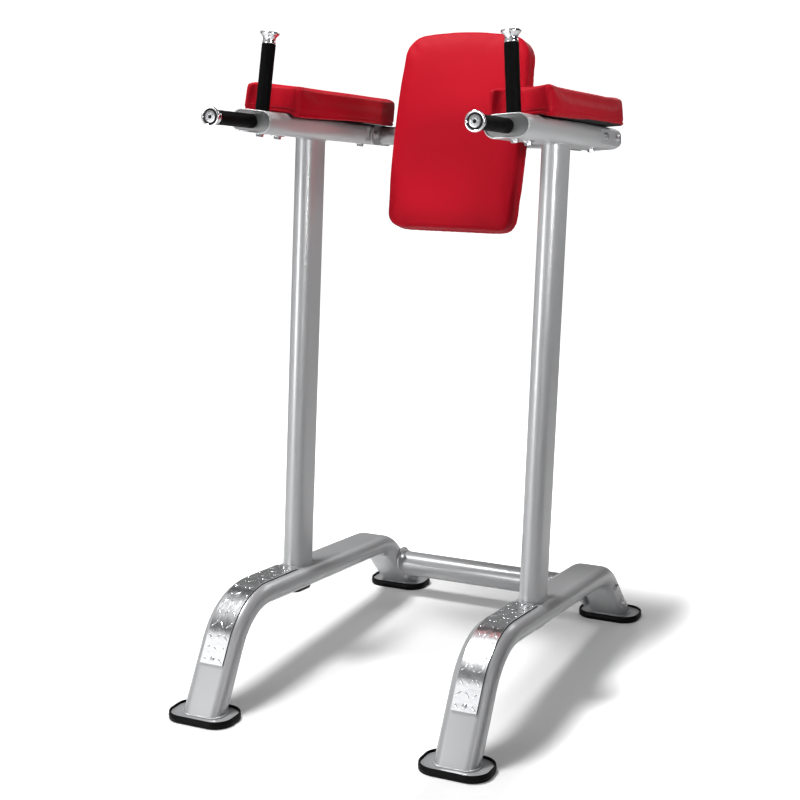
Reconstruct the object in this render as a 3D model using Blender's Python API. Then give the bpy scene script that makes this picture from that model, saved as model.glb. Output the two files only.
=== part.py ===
"""Dip and knee raise station: two bent side frames, two cross tubes, rolled arms with pads and grips.

Metres, +Z up, the user faces the station from -Y, and X runs from the left arm to the right arm.
Both side frames lean back together, so most pieces are placed in a tilted frame in which the base
beams and the arms are level and the uprights are plumb.
"""
import math

import bmesh
import bpy
from mathutils import Matrix, Vector

# Fits and tubes
CLEARANCE = 0.0003          # gap between touching pieces
BEAM_WIDTH = 0.108          # flat-oval tube of legs and arms, across
BEAM_HEIGHT = 0.054
BEAM_WALL = 0.003
UPRIGHT_WIDTH = 0.052       # flat-oval tube of the uprights, across
UPRIGHT_DEPTH = 0.100
UPRIGHT_WALL = 0.003
PRESS_DEPTH = 0.007         # how far a tube's round side is pressed flat for a bolted flange
PRESS_RUN = 0.010           # length over which the round side turns flat

# Stance
SIDE_X = 0.328              # leg and upright centre line from the middle
FRAME_TILT = math.radians(5.1)
BEAM_Z = 0.2122             # height of the beam's centre line in the tilted frame
FRONT_FOOT_Y = -0.5475
REAR_FOOT_Y = 0.5475
FRONT_BASE_Y = -0.546       # where the leg's centre line meets the foot plate
REAR_BASE_Y = 0.550
FRONT_LEG_ANGLE = math.radians(58.7)
REAR_LEG_ANGLE = math.radians(45.0)
BEND_RADIUS = 0.167
BEND_STEPS = 5

# Feet
FOOT_WIDTH = 0.172
FOOT_DEPTH = 0.115
FOOT_CORNER = 0.046
FOOT_HEIGHT = 0.019
FOOT_RIM = 0.005
FOOT_FLOOR = 0.007
FOOT_CHAMFER = 0.002
FOOT_PLATE_THICKNESS = 0.006

# Tread plates
TREAD_WIDTH = 0.062
TREAD_THICKNESS = 0.0025
TREAD_START = 0.110         # distance of its lower end up the front leg
TREAD_TO_UPRIGHT = 0.006

# Uprights and beam plugs
UPRIGHT_Y = -0.105          # in the tilted frame
PLUG_LENGTH = 0.092
PLUG_WIDTH = 0.050
PLUG_LIP = 0.005
PLUG_PROUD = 0.010
PLUG_SPIGOT = 0.009

# Arms, in the tilted frame
ARM_X = 0.3215
ARM_Z = 1.3652
ARM_ROLL = math.radians(5.0)    # outer edge up
ARM_FRONT = -0.413
ARM_REAR = 0.268
ARM_PRESS_MARGIN = 0.022    # how far the arm's flat runs on in front of the flange
FRONT_PLATE_RECESS = 0.004
FRONT_PLATE_THICKNESS = 0.005
REAR_CAP_LIP = 0.003
REAR_CAP_SPIGOT = 0.016

# Handles
HANDLE_RADIUS = 0.0135
HANDLE_BORE_RADIUS = 0.0110
GRIP_RADIUS = 0.01675
GRIP_LENGTH = 0.156
GRIP_ROUNDING = 0.002
UP_HANDLE_Y = -0.365        # along the arm
CAP_SPIGOT = 0.020
CAP_NECK_RADIUS = 0.0155
CAP_NECK_LENGTH = 0.009
CAP_RADIUS = 0.0230
CAP_LENGTH = 0.027
CAP_RIM = 0.0045
CAP_GROOVE_RADIUS = 0.0170
CAP_GROOVE_DEPTH = 0.003
CAP_BOSS_RADIUS = 0.0140

# Bolts
BOLT_RADIUS = 0.0050
BOLT_HEAD_RADIUS = 0.0085
BOLT_HEAD_HEIGHT = 0.0080
BOLT_HEAD_CHAMFER = 0.0012
BOLT_END = 0.011            # length past the flange, for a nut
BOLT_GRIP_IN_BOARD = 0.008

# Cross tubes
CROSS_WALL = 0.003
FLANGE_THICKNESS = 0.006
VENT_RADIUS = 0.004
UPPER_CROSS_RADIUS = 0.0240
UPPER_CROSS_Y = 0.188       # along the arm
UPPER_FLANGE_LENGTH = 0.130
UPPER_FLANGE_WIDTH = 0.053
UPPER_BOLT_OFFSET = 0.048
LOWER_CROSS_RADIUS = 0.035
LOWER_CROSS_UP_LEG = 0.112  # distance of its centre up the rear leg
LOWER_FLANGE_LENGTH = 0.115
LOWER_FLANGE_WIDTH = 0.074
LOWER_BOLT_OFFSET = 0.044   # a nut clears the tube's wall
LEG_PRESS_MARGIN = 0.004    # how far the rear leg's flat runs on past the flange

# Arm pads, on the arm's top
PAD_WIDTH = 0.160
PAD_FRONT = -0.330          # tips of the two lips beside the upright handle
PAD_REAR = 0.209
PAD_THICKNESS = 0.063       # at the front
PAD_TAPER = 0.07            # share by which it is thicker at the rear
PAD_NOTCH_RADIUS = 0.075
PAD_LIP_RADIUS = 0.014
PAD_REAR_CORNER = 0.018
PAD_BOARD_THICKNESS = 0.011
PAD_BOARD_INSET = 0.006
PAD_SEAM_HEIGHT = 0.008
PAD_CROWN = 0.0022
PAD_CROWN_INSET = 0.030
PAD_EDGE = 0.012
FRONT_PAD_BOLT = -0.280
REAR_PAD_BOLT = 0.165

# Back pad, in its own leaning frame
BACK_AHEAD_OF_TUBE = 0.1292
BACK_ABOVE_TUBE = 0.0233
BACK_LEAN = math.radians(15.4)
BACK_HALF_WIDTH = 0.171
BACK_BOTTOM = -0.251
BACK_TOP = 0.244
BACK_ARCH = 0.020
BACK_BARREL = 0.009
BACK_BOW = 0.010            # how far back the ends of the bowed pad lie
BACK_BOTTOM_CORNER = 0.034
BACK_TOP_CORNER = 0.046
BACK_THICKNESS = 0.055
BACK_EDGE = 0.020
BACK_CROWN = 0.008
BACK_CROWN_RINGS = ((0.75, 0.55), (0.45, 0.88), (0.12, 1.0))  # scale of the outline, share of the crown
BACK_BOARD_THICKNESS = 0.012
BACK_BOARD_INSET = 0.007
BRACKET_HALF_WIDTH = 0.080
BRACKET_HALF_HEIGHT = 0.075
BRACKET_PLATE = 0.005
BRACKET_CORNER = 0.012
RIB_X = 0.055
RIB_THICKNESS = 0.006
RIB_HALF_HEIGHT = 0.032

OVAL_STEPS = 6              # segments round each end of a flat oval
ROUND_STEPS = 16
TUBE_STEPS = 24
BOLT_STEPS = 12
SMOOTH_ANGLE = math.radians(35)

FOOT_PLATE_Z = FOOT_FLOOR + CLEARANCE
LEG_BASE_Z = FOOT_PLATE_Z + FOOT_PLATE_THICKNESS + CLEARANCE
PRESSED_HALF = BEAM_WIDTH / 2 - PRESS_DEPTH
TILT = Matrix.Rotation(-FRAME_TILT, 4, "X")


# Outlines

def flat_oval(length, width, steps=OVAL_STEPS):
    """Points of a flat oval whose round ends point along the first axis, counter-clockwise."""
    radius = width / 2
    reach = length / 2 - radius
    points = []
    for sign, start in ((1, -math.pi / 2), (-1, math.pi / 2)):
        for step in range(steps + 1):
            angle = start + math.pi * step / steps
            points.append((sign * reach + radius * math.cos(angle), radius * math.sin(angle)))
    return points


def pressed(points, half):
    """The outline with its round ends pressed flat at plus and minus half."""
    return [(max(-half, min(half, a)), b) for a, b in points]


def circle(radius, steps=ROUND_STEPS):
    """Points of a circle, counter-clockwise."""
    return [(radius * math.cos(2 * math.pi * i / steps), radius * math.sin(2 * math.pi * i / steps))
            for i in range(steps)]


def arc(centre, radius, start, end, steps):
    """Points along an arc from one angle to another."""
    return [(centre[0] + radius * math.cos(start + (end - start) * i / steps),
             centre[1] + radius * math.sin(start + (end - start) * i / steps)) for i in range(steps + 1)]


def rounded_rectangle(width, depth, corner, steps=4):
    """Points of a rectangle with round corners, counter-clockwise."""
    points = []
    for quarter, (a, b) in enumerate(((1, 1), (-1, 1), (-1, -1), (1, -1))):
        centre = (a * (width / 2 - corner), b * (depth / 2 - corner))
        start = quarter * math.pi / 2
        points += arc(centre, corner, start, start + math.pi / 2, steps)
    return points


# Mesh helpers

def add_ring(bm, points):
    return [bm.verts.new(point) for point in points]


def bridge(bm, first, second):
    count = len(first)
    for i in range(count):
        j = (i + 1) % count
        bm.faces.new((first[i], first[j], second[j], second[i]))


def loft(rings):
    """A closed solid through rings of points, with its first and last ring filled."""
    bm = bmesh.new()
    loops = [add_ring(bm, ring) for ring in rings]
    for first, second in zip(loops, loops[1:]):
        bridge(bm, first, second)
    bm.faces.new(loops[0])
    bm.faces.new(loops[-1])
    bmesh.ops.recalc_face_normals(bm, faces=bm.faces)
    return bm


def sleeve(outer, inner):
    """A closed wall between outer and inner rings, open at both ends."""
    bm = bmesh.new()
    outside = [add_ring(bm, ring) for ring in outer]
    inside = [add_ring(bm, ring) for ring in inner]
    for loops in (outside, inside):
        for first, second in zip(loops, loops[1:]):
            bridge(bm, first, second)
    bridge(bm, outside[0], inside[0])
    bridge(bm, outside[-1], inside[-1])
    bmesh.ops.recalc_face_normals(bm, faces=bm.faces)
    return bm


def turned(profile, steps=ROUND_STEPS):
    """A solid turned about Z from (radius, height) points that start and end on the axis."""
    rings = [[(a, b, height) for a, b in circle(radius, steps)] for radius, height in profile[1:-1]]
    bm = bmesh.new()
    loops = [add_ring(bm, ring) for ring in rings]
    for first, second in zip(loops, loops[1:]):
        bridge(bm, first, second)
    bm.faces.new(loops[0])
    bm.faces.new(loops[-1])
    bmesh.ops.recalc_face_normals(bm, faces=bm.faces)
    return bm


def prism(outline, low, high, place):
    """A solid between two copies of an outline; place turns (a, b, height) into a point."""
    return loft([[place(a, b, low) for a, b in outline], [place(a, b, high) for a, b in outline]])


def merge(target, source):
    """Adds a separate solid to a cutter's mesh."""
    mesh = bpy.data.meshes.new("temporary")
    source.to_mesh(mesh)
    source.free()
    target.from_mesh(mesh)
    bpy.data.meshes.remove(mesh)


def rod(radius, start, end, steps=ROUND_STEPS):
    """A cylinder from one point to another."""
    start = Vector(start)
    end = Vector(end)
    bm = prism(circle(radius, steps), 0.0, (end - start).length, lambda a, b, h: (a, b, h))
    turn = (end - start).to_track_quat("Z", "Y").to_matrix().to_4x4()
    bm.transform(Matrix.Translation(start) @ turn)
    return bm


def mirrored(bm):
    """The same solid on the other side of X = 0."""
    bm.transform(Matrix.Scale(-1, 4, (1, 0, 0)))
    bmesh.ops.reverse_faces(bm, faces=bm.faces)
    return bm


def material(name, colour, roughness, metallic):
    found = bpy.data.materials.get(name)
    if found:
        return found
    made = bpy.data.materials.new(name)
    made.use_nodes = True
    made.diffuse_color = (*colour, 1.0)
    shader = made.node_tree.nodes["Principled BSDF"]
    shader.inputs["Base Color"].default_value = (*colour, 1.0)
    shader.inputs["Roughness"].default_value = roughness
    shader.inputs["Metallic"].default_value = metallic
    return made


SILVER = ("silver_paint", (0.50, 0.51, 0.52), 0.38, 0.55)
CHROME = ("chrome", (0.80, 0.80, 0.82), 0.12, 1.0)
TREAD = ("bright_tread", (0.75, 0.76, 0.78), 0.25, 1.0)
RUBBER = ("black_rubber", (0.02, 0.02, 0.02), 0.75, 0.0)
PLASTIC = ("black_plastic", (0.03, 0.03, 0.03), 0.50, 0.0)
VINYL = ("red_vinyl", (0.56, 0.02, 0.03), 0.42, 0.0)
BOARD = ("dark_board", (0.06, 0.05, 0.05), 0.85, 0.0)
STEEL = ("bolt_steel", (0.55, 0.56, 0.58), 0.30, 1.0)


def place_frame(name, matrix):
    """An empty that carries pieces modelled in their own frame."""
    frame = bpy.data.objects.new(name, None)
    bpy.context.scene.collection.objects.link(frame)
    frame.matrix_world = matrix
    return frame


def new_object(name, mesh, parent, location):
    made = bpy.data.objects.new(name, mesh)
    bpy.context.scene.collection.objects.link(made)
    made.parent = parent
    made.location = location
    return made


def to_mesh(name, bm):
    mesh = bpy.data.meshes.new(name)
    bm.to_mesh(mesh)
    bm.free()
    return mesh


def piece(name, bm, finish, parent=None, location=(0, 0, 0)):
    """One named piece of the station."""
    mesh = to_mesh(name, bm)
    mesh.materials.append(material(*finish))
    mesh.shade_smooth()
    mesh.set_sharp_from_angle(angle=SMOOTH_ANGLE)
    return new_object(name, mesh, parent, location)


def copy_piece(name, original, parent, location=(0, 0, 0)):
    """A second piece of the same shape."""
    return new_object(name, original.data, parent, location)


def combine(target, name, bm, operation="DIFFERENCE"):
    """Cuts a solid out of a piece or welds it on, in the piece's own frame."""
    tool = new_object(name, to_mesh(name, bm), target.parent, target.location)
    tool.hide_render = True
    tool.display_type = "WIRE"
    modifier = target.modifiers.new(name, "BOOLEAN")
    modifier.operation = operation
    modifier.solver = "EXACT"
    modifier.object = tool


# The bent legs, whose path lies in the YZ plane

def meet(point_a, direction_a, point_b, direction_b):
    """Where two lines of the YZ plane cross."""
    cross = direction_a.x * direction_b.y - direction_a.y * direction_b.x
    gap = point_b - point_a
    return point_a + direction_a * ((gap.x * direction_b.y - gap.y * direction_b.x) / cross)


class Bend:
    """A bend of the leg that turns clockwise between two straight runs."""

    def __init__(self, corner, arriving, leaving):
        self.turn = arriving.angle(leaving)
        self.arriving = arriving
        self.start = corner - arriving * (BEND_RADIUS * math.tan(self.turn / 2))
        self.centre = self.start + Vector((arriving.y, -arriving.x)) * BEND_RADIUS

    def station(self, angle):
        """Point and direction after turning through an angle."""
        turned_by = Matrix.Rotation(-angle, 2)
        return self.centre + turned_by @ (self.start - self.centre), turned_by @ self.arriving

    def stations(self):
        return [self.station(self.turn * step / BEND_STEPS) for step in range(BEND_STEPS + 1)]


FRONT_DIRECTION = Vector((math.cos(FRONT_LEG_ANGLE), math.sin(FRONT_LEG_ANGLE)))
BEAM_DIRECTION = Vector((math.cos(FRAME_TILT), -math.sin(FRAME_TILT)))
REAR_DIRECTION = Vector((math.cos(REAR_LEG_ANGLE), -math.sin(REAR_LEG_ANGLE)))
FRONT_BASE = Vector((FRONT_BASE_Y, LEG_BASE_Z))
REAR_BASE = Vector((REAR_BASE_Y, LEG_BASE_Z))
BEAM_POINT = Vector((BEAM_Z * math.sin(FRAME_TILT), BEAM_Z * math.cos(FRAME_TILT)))
FRONT_CORNER = meet(FRONT_BASE, FRONT_DIRECTION, BEAM_POINT, BEAM_DIRECTION)
REAR_CORNER = meet(REAR_BASE, REAR_DIRECTION, BEAM_POINT, BEAM_DIRECTION)
FRONT_BEND = Bend(FRONT_CORNER, FRONT_DIRECTION, BEAM_DIRECTION)
REAR_BEND = Bend(REAR_CORNER, BEAM_DIRECTION, REAR_DIRECTION)
REAR_STRAIGHT = (REAR_BASE - REAR_BEND.station(REAR_BEND.turn)[0]).length


def station_point(point, direction, across, up):
    """A point of the leg's section at a station of its path."""
    normal = Vector((-direction.y, direction.x))
    place = point + normal * up
    return Vector((across, place.x, place.y))


def level_ring(base, direction, outline):
    """The section run down along the leg to the foot plate."""
    ring = []
    for across, up in outline:
        start = station_point(base, direction, across, up)
        run = (base.y - start.z) / direction.y
        ring.append(Vector((across, start.y + direction.x * run, base.y)))
    return ring


def up_rear_leg(distance):
    """Point and direction of the leg's path at a distance up from its rear base."""
    if distance <= REAR_STRAIGHT:
        return REAR_BASE - REAR_DIRECTION * distance, REAR_DIRECTION
    back = (distance - REAR_STRAIGHT) / BEND_RADIUS
    if back <= REAR_BEND.turn:
        return REAR_BEND.station(REAR_BEND.turn - back)
    spare = distance - REAR_STRAIGHT - REAR_BEND.turn * BEND_RADIUS
    return REAR_BEND.start - BEAM_DIRECTION * spare, BEAM_DIRECTION


def leg_rings(width, height, half):
    """Rings of the leg's outside or bore, with its round sides pressed flat at half by the flange."""
    outline = flat_oval(width, height)
    flat_reach = LOWER_FLANGE_LENGTH / 2 + LEG_PRESS_MARGIN
    high = LOWER_CROSS_UP_LEG + flat_reach
    low = LOWER_CROSS_UP_LEG - flat_reach
    rings = [level_ring(FRONT_BASE, FRONT_DIRECTION, outline)]
    for point, direction in FRONT_BEND.stations():
        rings.append([station_point(point, direction, a, b) for a, b in outline])
    bend_arc = REAR_BEND.turn * BEND_RADIUS
    distances = [REAR_STRAIGHT + bend_arc * step / BEND_STEPS for step in range(BEND_STEPS + 1)]
    distances += [high + PRESS_RUN, high, low, low - PRESS_RUN]
    for distance in sorted(distances, reverse=True):
        point, direction = up_rear_leg(distance)
        reach = max(low - distance, distance - high, 0.0)
        edge = half + (width / 2 - half) * min(1.0, reach / PRESS_RUN)
        rings.append([station_point(point, direction, a, b) for a, b in pressed(outline, edge)])
    rings.append(level_ring(REAR_BASE, REAR_DIRECTION, outline))
    return rings


def leg_solid():
    bore_half = PRESSED_HALF - BEAM_WALL
    return sleeve(leg_rings(BEAM_WIDTH, BEAM_HEIGHT, PRESSED_HALF),
                  leg_rings(BEAM_WIDTH - 2 * BEAM_WALL, BEAM_HEIGHT - 2 * BEAM_WALL, bore_half))


LOWER_CROSS = REAR_BASE - REAR_DIRECTION * LOWER_CROSS_UP_LEG
LOWER_BOLTS = [LOWER_CROSS + REAR_DIRECTION * offset for offset in (-LOWER_BOLT_OFFSET, LOWER_BOLT_OFFSET)]


def leg_cuts():
    """Bolt holes through the rear leg, and the plug's opening under the beam."""
    reach = BEAM_WIDTH
    cuts = bmesh.new()
    for y, z in LOWER_BOLTS:
        merge(cuts, rod(BOLT_RADIUS + CLEARANCE, (-reach, y, z), (reach, y, z), BOLT_STEPS))
    opening = flat_oval(PLUG_LENGTH - 2 * PLUG_LIP, PLUG_WIDTH - 2 * PLUG_LIP)
    under = BEAM_Z - BEAM_HEIGHT / 2
    merge(cuts, prism(opening, under - BEAM_WALL, under + 2 * BEAM_WALL,
                      lambda a, b, h: TILT @ Vector((b, UPRIGHT_Y + a, h))))
    return cuts


def plug_solid():
    """Plastic plug that closes the opening under the beam."""
    under = BEAM_Z - BEAM_HEIGHT / 2
    lip = flat_oval(PLUG_LENGTH, PLUG_WIDTH)
    edge = flat_oval(PLUG_LENGTH - PLUG_PROUD, PLUG_WIDTH - PLUG_PROUD)
    inset = 2 * (PLUG_LIP + CLEARANCE)
    spigot = flat_oval(PLUG_LENGTH - inset, PLUG_WIDTH - inset)
    levels = ((edge, -PLUG_PROUD), (lip, -PLUG_PROUD / 2), (lip, -CLEARANCE),
              (spigot, -CLEARANCE), (spigot, PLUG_SPIGOT))
    return loft([[(b, UPRIGHT_Y + a, under + h) for a, b in outline] for outline, h in levels])


def tread_solid():
    """Bright tread plate that follows the front leg and its bend up to the upright."""
    low = BEAM_HEIGHT / 2 + CLEARANCE
    high = low + TREAD_THICKNESS
    half = TREAD_WIDTH / 2
    outline = ((-half, low), (half, low), (half, high), (-half, high))
    start = FRONT_BASE + FRONT_DIRECTION * TREAD_START
    end_y = UPRIGHT_Y - UPRIGHT_DEPTH / 2 - TREAD_TO_UPRIGHT
    end = TILT @ Vector((0, end_y, BEAM_Z))
    stations = [(start, FRONT_DIRECTION)] + FRONT_BEND.stations() + [(Vector((end.y, end.z)), BEAM_DIRECTION)]
    return loft([[station_point(point, direction, a, b) for a, b in outline]
                 for point, direction in stations])


# Feet

def foot_outline(inset):
    return rounded_rectangle(FOOT_WIDTH - 2 * inset, FOOT_DEPTH - 2 * inset, FOOT_CORNER - inset)


def foot_solid():
    """Rubber foot: a shallow tray with a rim round the foot plate."""
    levels = ((FOOT_CHAMFER, 0.0), (0.0, FOOT_CHAMFER), (0.0, FOOT_HEIGHT - FOOT_CHAMFER),
              (FOOT_CHAMFER, FOOT_HEIGHT), (FOOT_RIM, FOOT_HEIGHT), (FOOT_RIM, FOOT_FLOOR))
    return loft([[(a, b, z) for a, b in foot_outline(inset)] for inset, z in levels])


def foot_plate_solid():
    outline = foot_outline(FOOT_RIM + CLEARANCE)
    return prism(outline, FOOT_PLATE_Z, FOOT_PLATE_Z + FOOT_PLATE_THICKNESS, lambda a, b, h: (a, b, h))


# Uprights, from the beam's top to the rolled underside of the arm

def upright_solid():
    """The right upright, in the tilted frame."""
    bottom = BEAM_Z + BEAM_HEIGHT / 2 + CLEARANCE
    under_arm = BEAM_HEIGHT / 2 + CLEARANCE

    def rings(width, depth):
        outline = [(SIDE_X + b, UPRIGHT_Y + a) for a, b in flat_oval(depth, width)]
        top = [ARM_Z + (x - ARM_X) * math.tan(ARM_ROLL) - under_arm / math.cos(ARM_ROLL) for x, y in outline]
        return [[(x, y, bottom) for x, y in outline], [(x, y, z) for (x, y), z in zip(outline, top)]]

    inset = 2 * UPRIGHT_WALL
    return sleeve(rings(UPRIGHT_WIDTH, UPRIGHT_DEPTH), rings(UPRIGHT_WIDTH - inset, UPRIGHT_DEPTH - inset))


# Arms, along Y in the arm's own frame

def arm_rings(width, height, half):
    outline = flat_oval(width, height)
    flat = pressed(outline, half)
    flat_start = UPPER_CROSS_Y - UPPER_FLANGE_LENGTH / 2 - ARM_PRESS_MARGIN
    stations = ((ARM_FRONT, outline), (flat_start - PRESS_RUN, outline), (flat_start, flat), (ARM_REAR, flat))
    return [[(a, y, b) for a, b in shape] for y, shape in stations]


def arm_solid():
    return sleeve(arm_rings(BEAM_WIDTH, BEAM_HEIGHT, PRESSED_HALF),
                  arm_rings(BEAM_WIDTH - 2 * BEAM_WALL, BEAM_HEIGHT - 2 * BEAM_WALL, PRESSED_HALF - BEAM_WALL))


UPPER_BOLTS = [UPPER_CROSS_Y - UPPER_BOLT_OFFSET, UPPER_CROSS_Y + UPPER_BOLT_OFFSET]
PAD_BOLTS = [FRONT_PAD_BOLT, REAR_PAD_BOLT]


def arm_cuts():
    """Holes for the cross tube's bolts, the pad's bolts, the upright handle and its bolt."""
    hole = BOLT_RADIUS + CLEARANCE
    cuts = bmesh.new()
    for y in UPPER_BOLTS:
        merge(cuts, rod(hole, (-BEAM_WIDTH, y, 0), (BEAM_WIDTH, y, 0), BOLT_STEPS))
    for y in PAD_BOLTS:
        merge(cuts, rod(hole, (0, y, -BEAM_HEIGHT), (0, y, BEAM_HEIGHT), BOLT_STEPS))
    merge(cuts, rod(hole, (0, UP_HANDLE_Y, -BEAM_HEIGHT), (0, UP_HANDLE_Y, -BEAM_WALL), BOLT_STEPS))
    merge(cuts, rod(HANDLE_RADIUS + CLEARANCE, (0, UP_HANDLE_Y, BEAM_WALL), (0, UP_HANDLE_Y, BEAM_HEIGHT)))
    return cuts


def arm_front_plate_solid():
    """Plate inside the arm's mouth that carries the dip handle."""
    inset = 2 * (BEAM_WALL + CLEARANCE)
    outline = flat_oval(BEAM_WIDTH - inset, BEAM_HEIGHT - inset)
    sides = len(outline)
    hole_radius = (HANDLE_RADIUS + CLEARANCE) / math.cos(math.pi / sides)
    turn = Matrix.Rotation(-math.pi / 2, 2)
    hole = [turn @ Vector(point) for point in circle(hole_radius, sides)]
    front = ARM_FRONT + FRONT_PLATE_RECESS
    levels = (front, front + FRONT_PLATE_THICKNESS)
    return sleeve([[(a, y, b) for a, b in outline] for y in levels], [[(a, y, b) for a, b in hole] for y in levels])


def arm_rear_cap_solid():
    """Plastic cap in the arm's rear end."""
    lip = pressed(flat_oval(BEAM_WIDTH, BEAM_HEIGHT), PRESSED_HALF)
    inset = BEAM_WALL + CLEARANCE
    spigot = pressed(flat_oval(BEAM_WIDTH - 2 * inset, BEAM_HEIGHT - 2 * inset), PRESSED_HALF - inset)
    near = ARM_REAR + CLEARANCE
    levels = ((spigot, ARM_REAR - REAR_CAP_SPIGOT), (spigot, near), (lip, near), (lip, near + REAR_CAP_LIP))
    return loft([[(a, y, b) for a, b in outline] for outline, y in levels])


# Handles, along Z in the handle's own frame with zero at the inner end of the grip

def handle_solid(inner_end):
    """Steel tube under a grip, run inwards to inner_end."""
    levels = (inner_end, GRIP_LENGTH)
    return sleeve([[(a, b, z) for a, b in circle(HANDLE_RADIUS)] for z in levels],
                  [[(a, b, z) for a, b in circle(HANDLE_BORE_RADIUS)] for z in levels])


def grip_solid():
    levels = ((GRIP_RADIUS - GRIP_ROUNDING, 0.0), (GRIP_RADIUS, GRIP_ROUNDING),
              (GRIP_RADIUS, GRIP_LENGTH - GRIP_ROUNDING), (GRIP_RADIUS - GRIP_ROUNDING, GRIP_LENGTH))
    bore = HANDLE_RADIUS + CLEARANCE
    return sleeve([[(a, b, z) for a, b in circle(radius)] for radius, z in levels],
                  [[(a, b, z) for a, b in circle(bore)] for z in (0.0, GRIP_LENGTH)])


def cap_solid():
    """Flared end cap with a spigot in the handle's bore and a stepped face."""
    foot = GRIP_LENGTH + CLEARANCE
    top = foot + CAP_LENGTH
    spigot = HANDLE_BORE_RADIUS - CLEARANCE
    flare = (CAP_RADIUS - CAP_NECK_RADIUS) / 3
    profile = ((0, foot - CAP_SPIGOT), (spigot, foot - CAP_SPIGOT), (spigot, foot), (CAP_NECK_RADIUS, foot),
               (CAP_NECK_RADIUS, foot + CAP_NECK_LENGTH),
               (CAP_NECK_RADIUS + flare, foot + CAP_NECK_LENGTH + 2 * flare),
               (CAP_RADIUS, top - 2 * CAP_RIM), (CAP_RADIUS, top - CAP_RIM),
               (CAP_GROOVE_RADIUS + CAP_GROOVE_DEPTH / 2, top), (CAP_GROOVE_RADIUS, top - CAP_GROOVE_DEPTH),
               (CAP_BOSS_RADIUS, top - CAP_GROOVE_DEPTH / 3), (0, top - CAP_GROOVE_DEPTH / 3))
    return turned(profile)


# Bolts, with the head at zero and the shank down -Z

def bolt_solid(length):
    profile = ((0, -length), (BOLT_RADIUS, -length), (BOLT_RADIUS, CLEARANCE), (BOLT_HEAD_RADIUS, CLEARANCE),
               (BOLT_HEAD_RADIUS, BOLT_HEAD_HEIGHT - BOLT_HEAD_CHAMFER),
               (BOLT_HEAD_RADIUS - BOLT_HEAD_CHAMFER, BOLT_HEAD_HEIGHT), (0, BOLT_HEAD_HEIGHT))
    return turned(profile, BOLT_STEPS)


# Cross tubes

def cross_tube(name, radius, centre, plates, flange_bolts, carrier):
    """A round tube between two flanges; plates gives each flange's matrix, outward along +Z."""
    ends = [plate @ Vector((0, 0, -FLANGE_THICKNESS / 2)) for plate in plates]
    half = abs(ends[0].x)
    y, z = centre
    tube = piece(name, rod(radius, (-half, y, z), (half, y, z), TUBE_STEPS), SILVER, carrier)
    length, width, bolts = flange_bolts
    outline = flat_oval(length, width)
    for side, plate in zip(("left", "right"), plates):
        flange = prism(outline, -FLANGE_THICKNESS, 0.0, lambda a, b, h: plate @ Vector((a, b, h)))
        combine(tube, f"{name}_{side}_flange", flange, "UNION")
    inner = half - FLANGE_THICKNESS
    combine(tube, f"{name}_bore", rod(radius - CROSS_WALL, (-inner, y, z), (inner, y, z), TUBE_STEPS))
    holes = bmesh.new()
    for plate in plates:
        for offset, hole in [(bolt, BOLT_RADIUS + CLEARANCE) for bolt in bolts] + [(0.0, VENT_RADIUS)]:
            start = plate @ Vector((offset, 0, -3 * FLANGE_THICKNESS))
            end = plate @ Vector((offset, 0, 3 * FLANGE_THICKNESS))
            merge(holes, rod(hole, start, end, BOLT_STEPS))
    combine(tube, f"{name}_holes", holes)
    return tube


# Arm pads, whose outline lies in the arm's XY plane with a notch round the upright handle

PAD_HALF = PAD_WIDTH / 2
LIP_X = PAD_HALF - PAD_LIP_RADIUS
LIP_RISE = math.sqrt((PAD_NOTCH_RADIUS + PAD_LIP_RADIUS) ** 2 - LIP_X ** 2)
LIP_CENTRE = Vector((LIP_X, PAD_FRONT + PAD_LIP_RADIUS))
NOTCH_CENTRE = LIP_CENTRE - Vector((LIP_X, LIP_RISE))
PAD_BOTTOM = BEAM_HEIGHT / 2 + CLEARANCE


def pad_outline(inset):
    """The pad's outline drawn in by inset; lips and notch keep their centres and stay tangent."""
    touch = math.atan2(LIP_RISE, LIP_X)
    lip = PAD_LIP_RADIUS - inset
    corner = PAD_REAR_CORNER - inset
    corner_x = PAD_HALF - PAD_REAR_CORNER
    corner_y = PAD_REAR - PAD_REAR_CORNER
    left_lip = (-LIP_CENTRE.x, LIP_CENTRE.y)
    middle = (LIP_CENTRE.y + corner_y) / 2
    points = arc(LIP_CENTRE, lip, touch - math.pi, 0, 5)
    points.append((PAD_HALF - inset, middle))
    points += arc((corner_x, corner_y), corner, 0, math.pi / 2, 3)
    points += arc((-corner_x, corner_y), corner, math.pi / 2, math.pi, 3)
    points.append((inset - PAD_HALF, middle))
    points += arc(left_lip, lip, math.pi, 2 * math.pi - touch, 5)
    notch = arc(NOTCH_CENTRE, PAD_NOTCH_RADIUS + inset, math.pi - touch, touch, 8)
    return points + notch[1:-1]


def crown_outline():
    """A smaller outline well inside the pad, point for point with the full one."""
    centre_y = (LIP_CENTRE.y + PAD_REAR) / 2
    shrink_x = (PAD_HALF - PAD_CROWN_INSET) / PAD_HALF
    reach = PAD_REAR - centre_y
    shrink_y = (reach - PAD_CROWN_INSET) / reach
    front = LIP_CENTRE.y + PAD_CROWN_INSET
    return [(x * shrink_x, max(front, centre_y + (y - centre_y) * shrink_y)) for x, y in pad_outline(PAD_EDGE)]


def pad_height(y, above_board):
    """Height on the pad above its seam, which grows towards the rear."""
    rise = max(0.0, above_board - PAD_SEAM_HEIGHT) * PAD_TAPER * (y - PAD_FRONT) / (PAD_REAR - PAD_FRONT)
    return PAD_BOTTOM + above_board + rise


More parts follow.
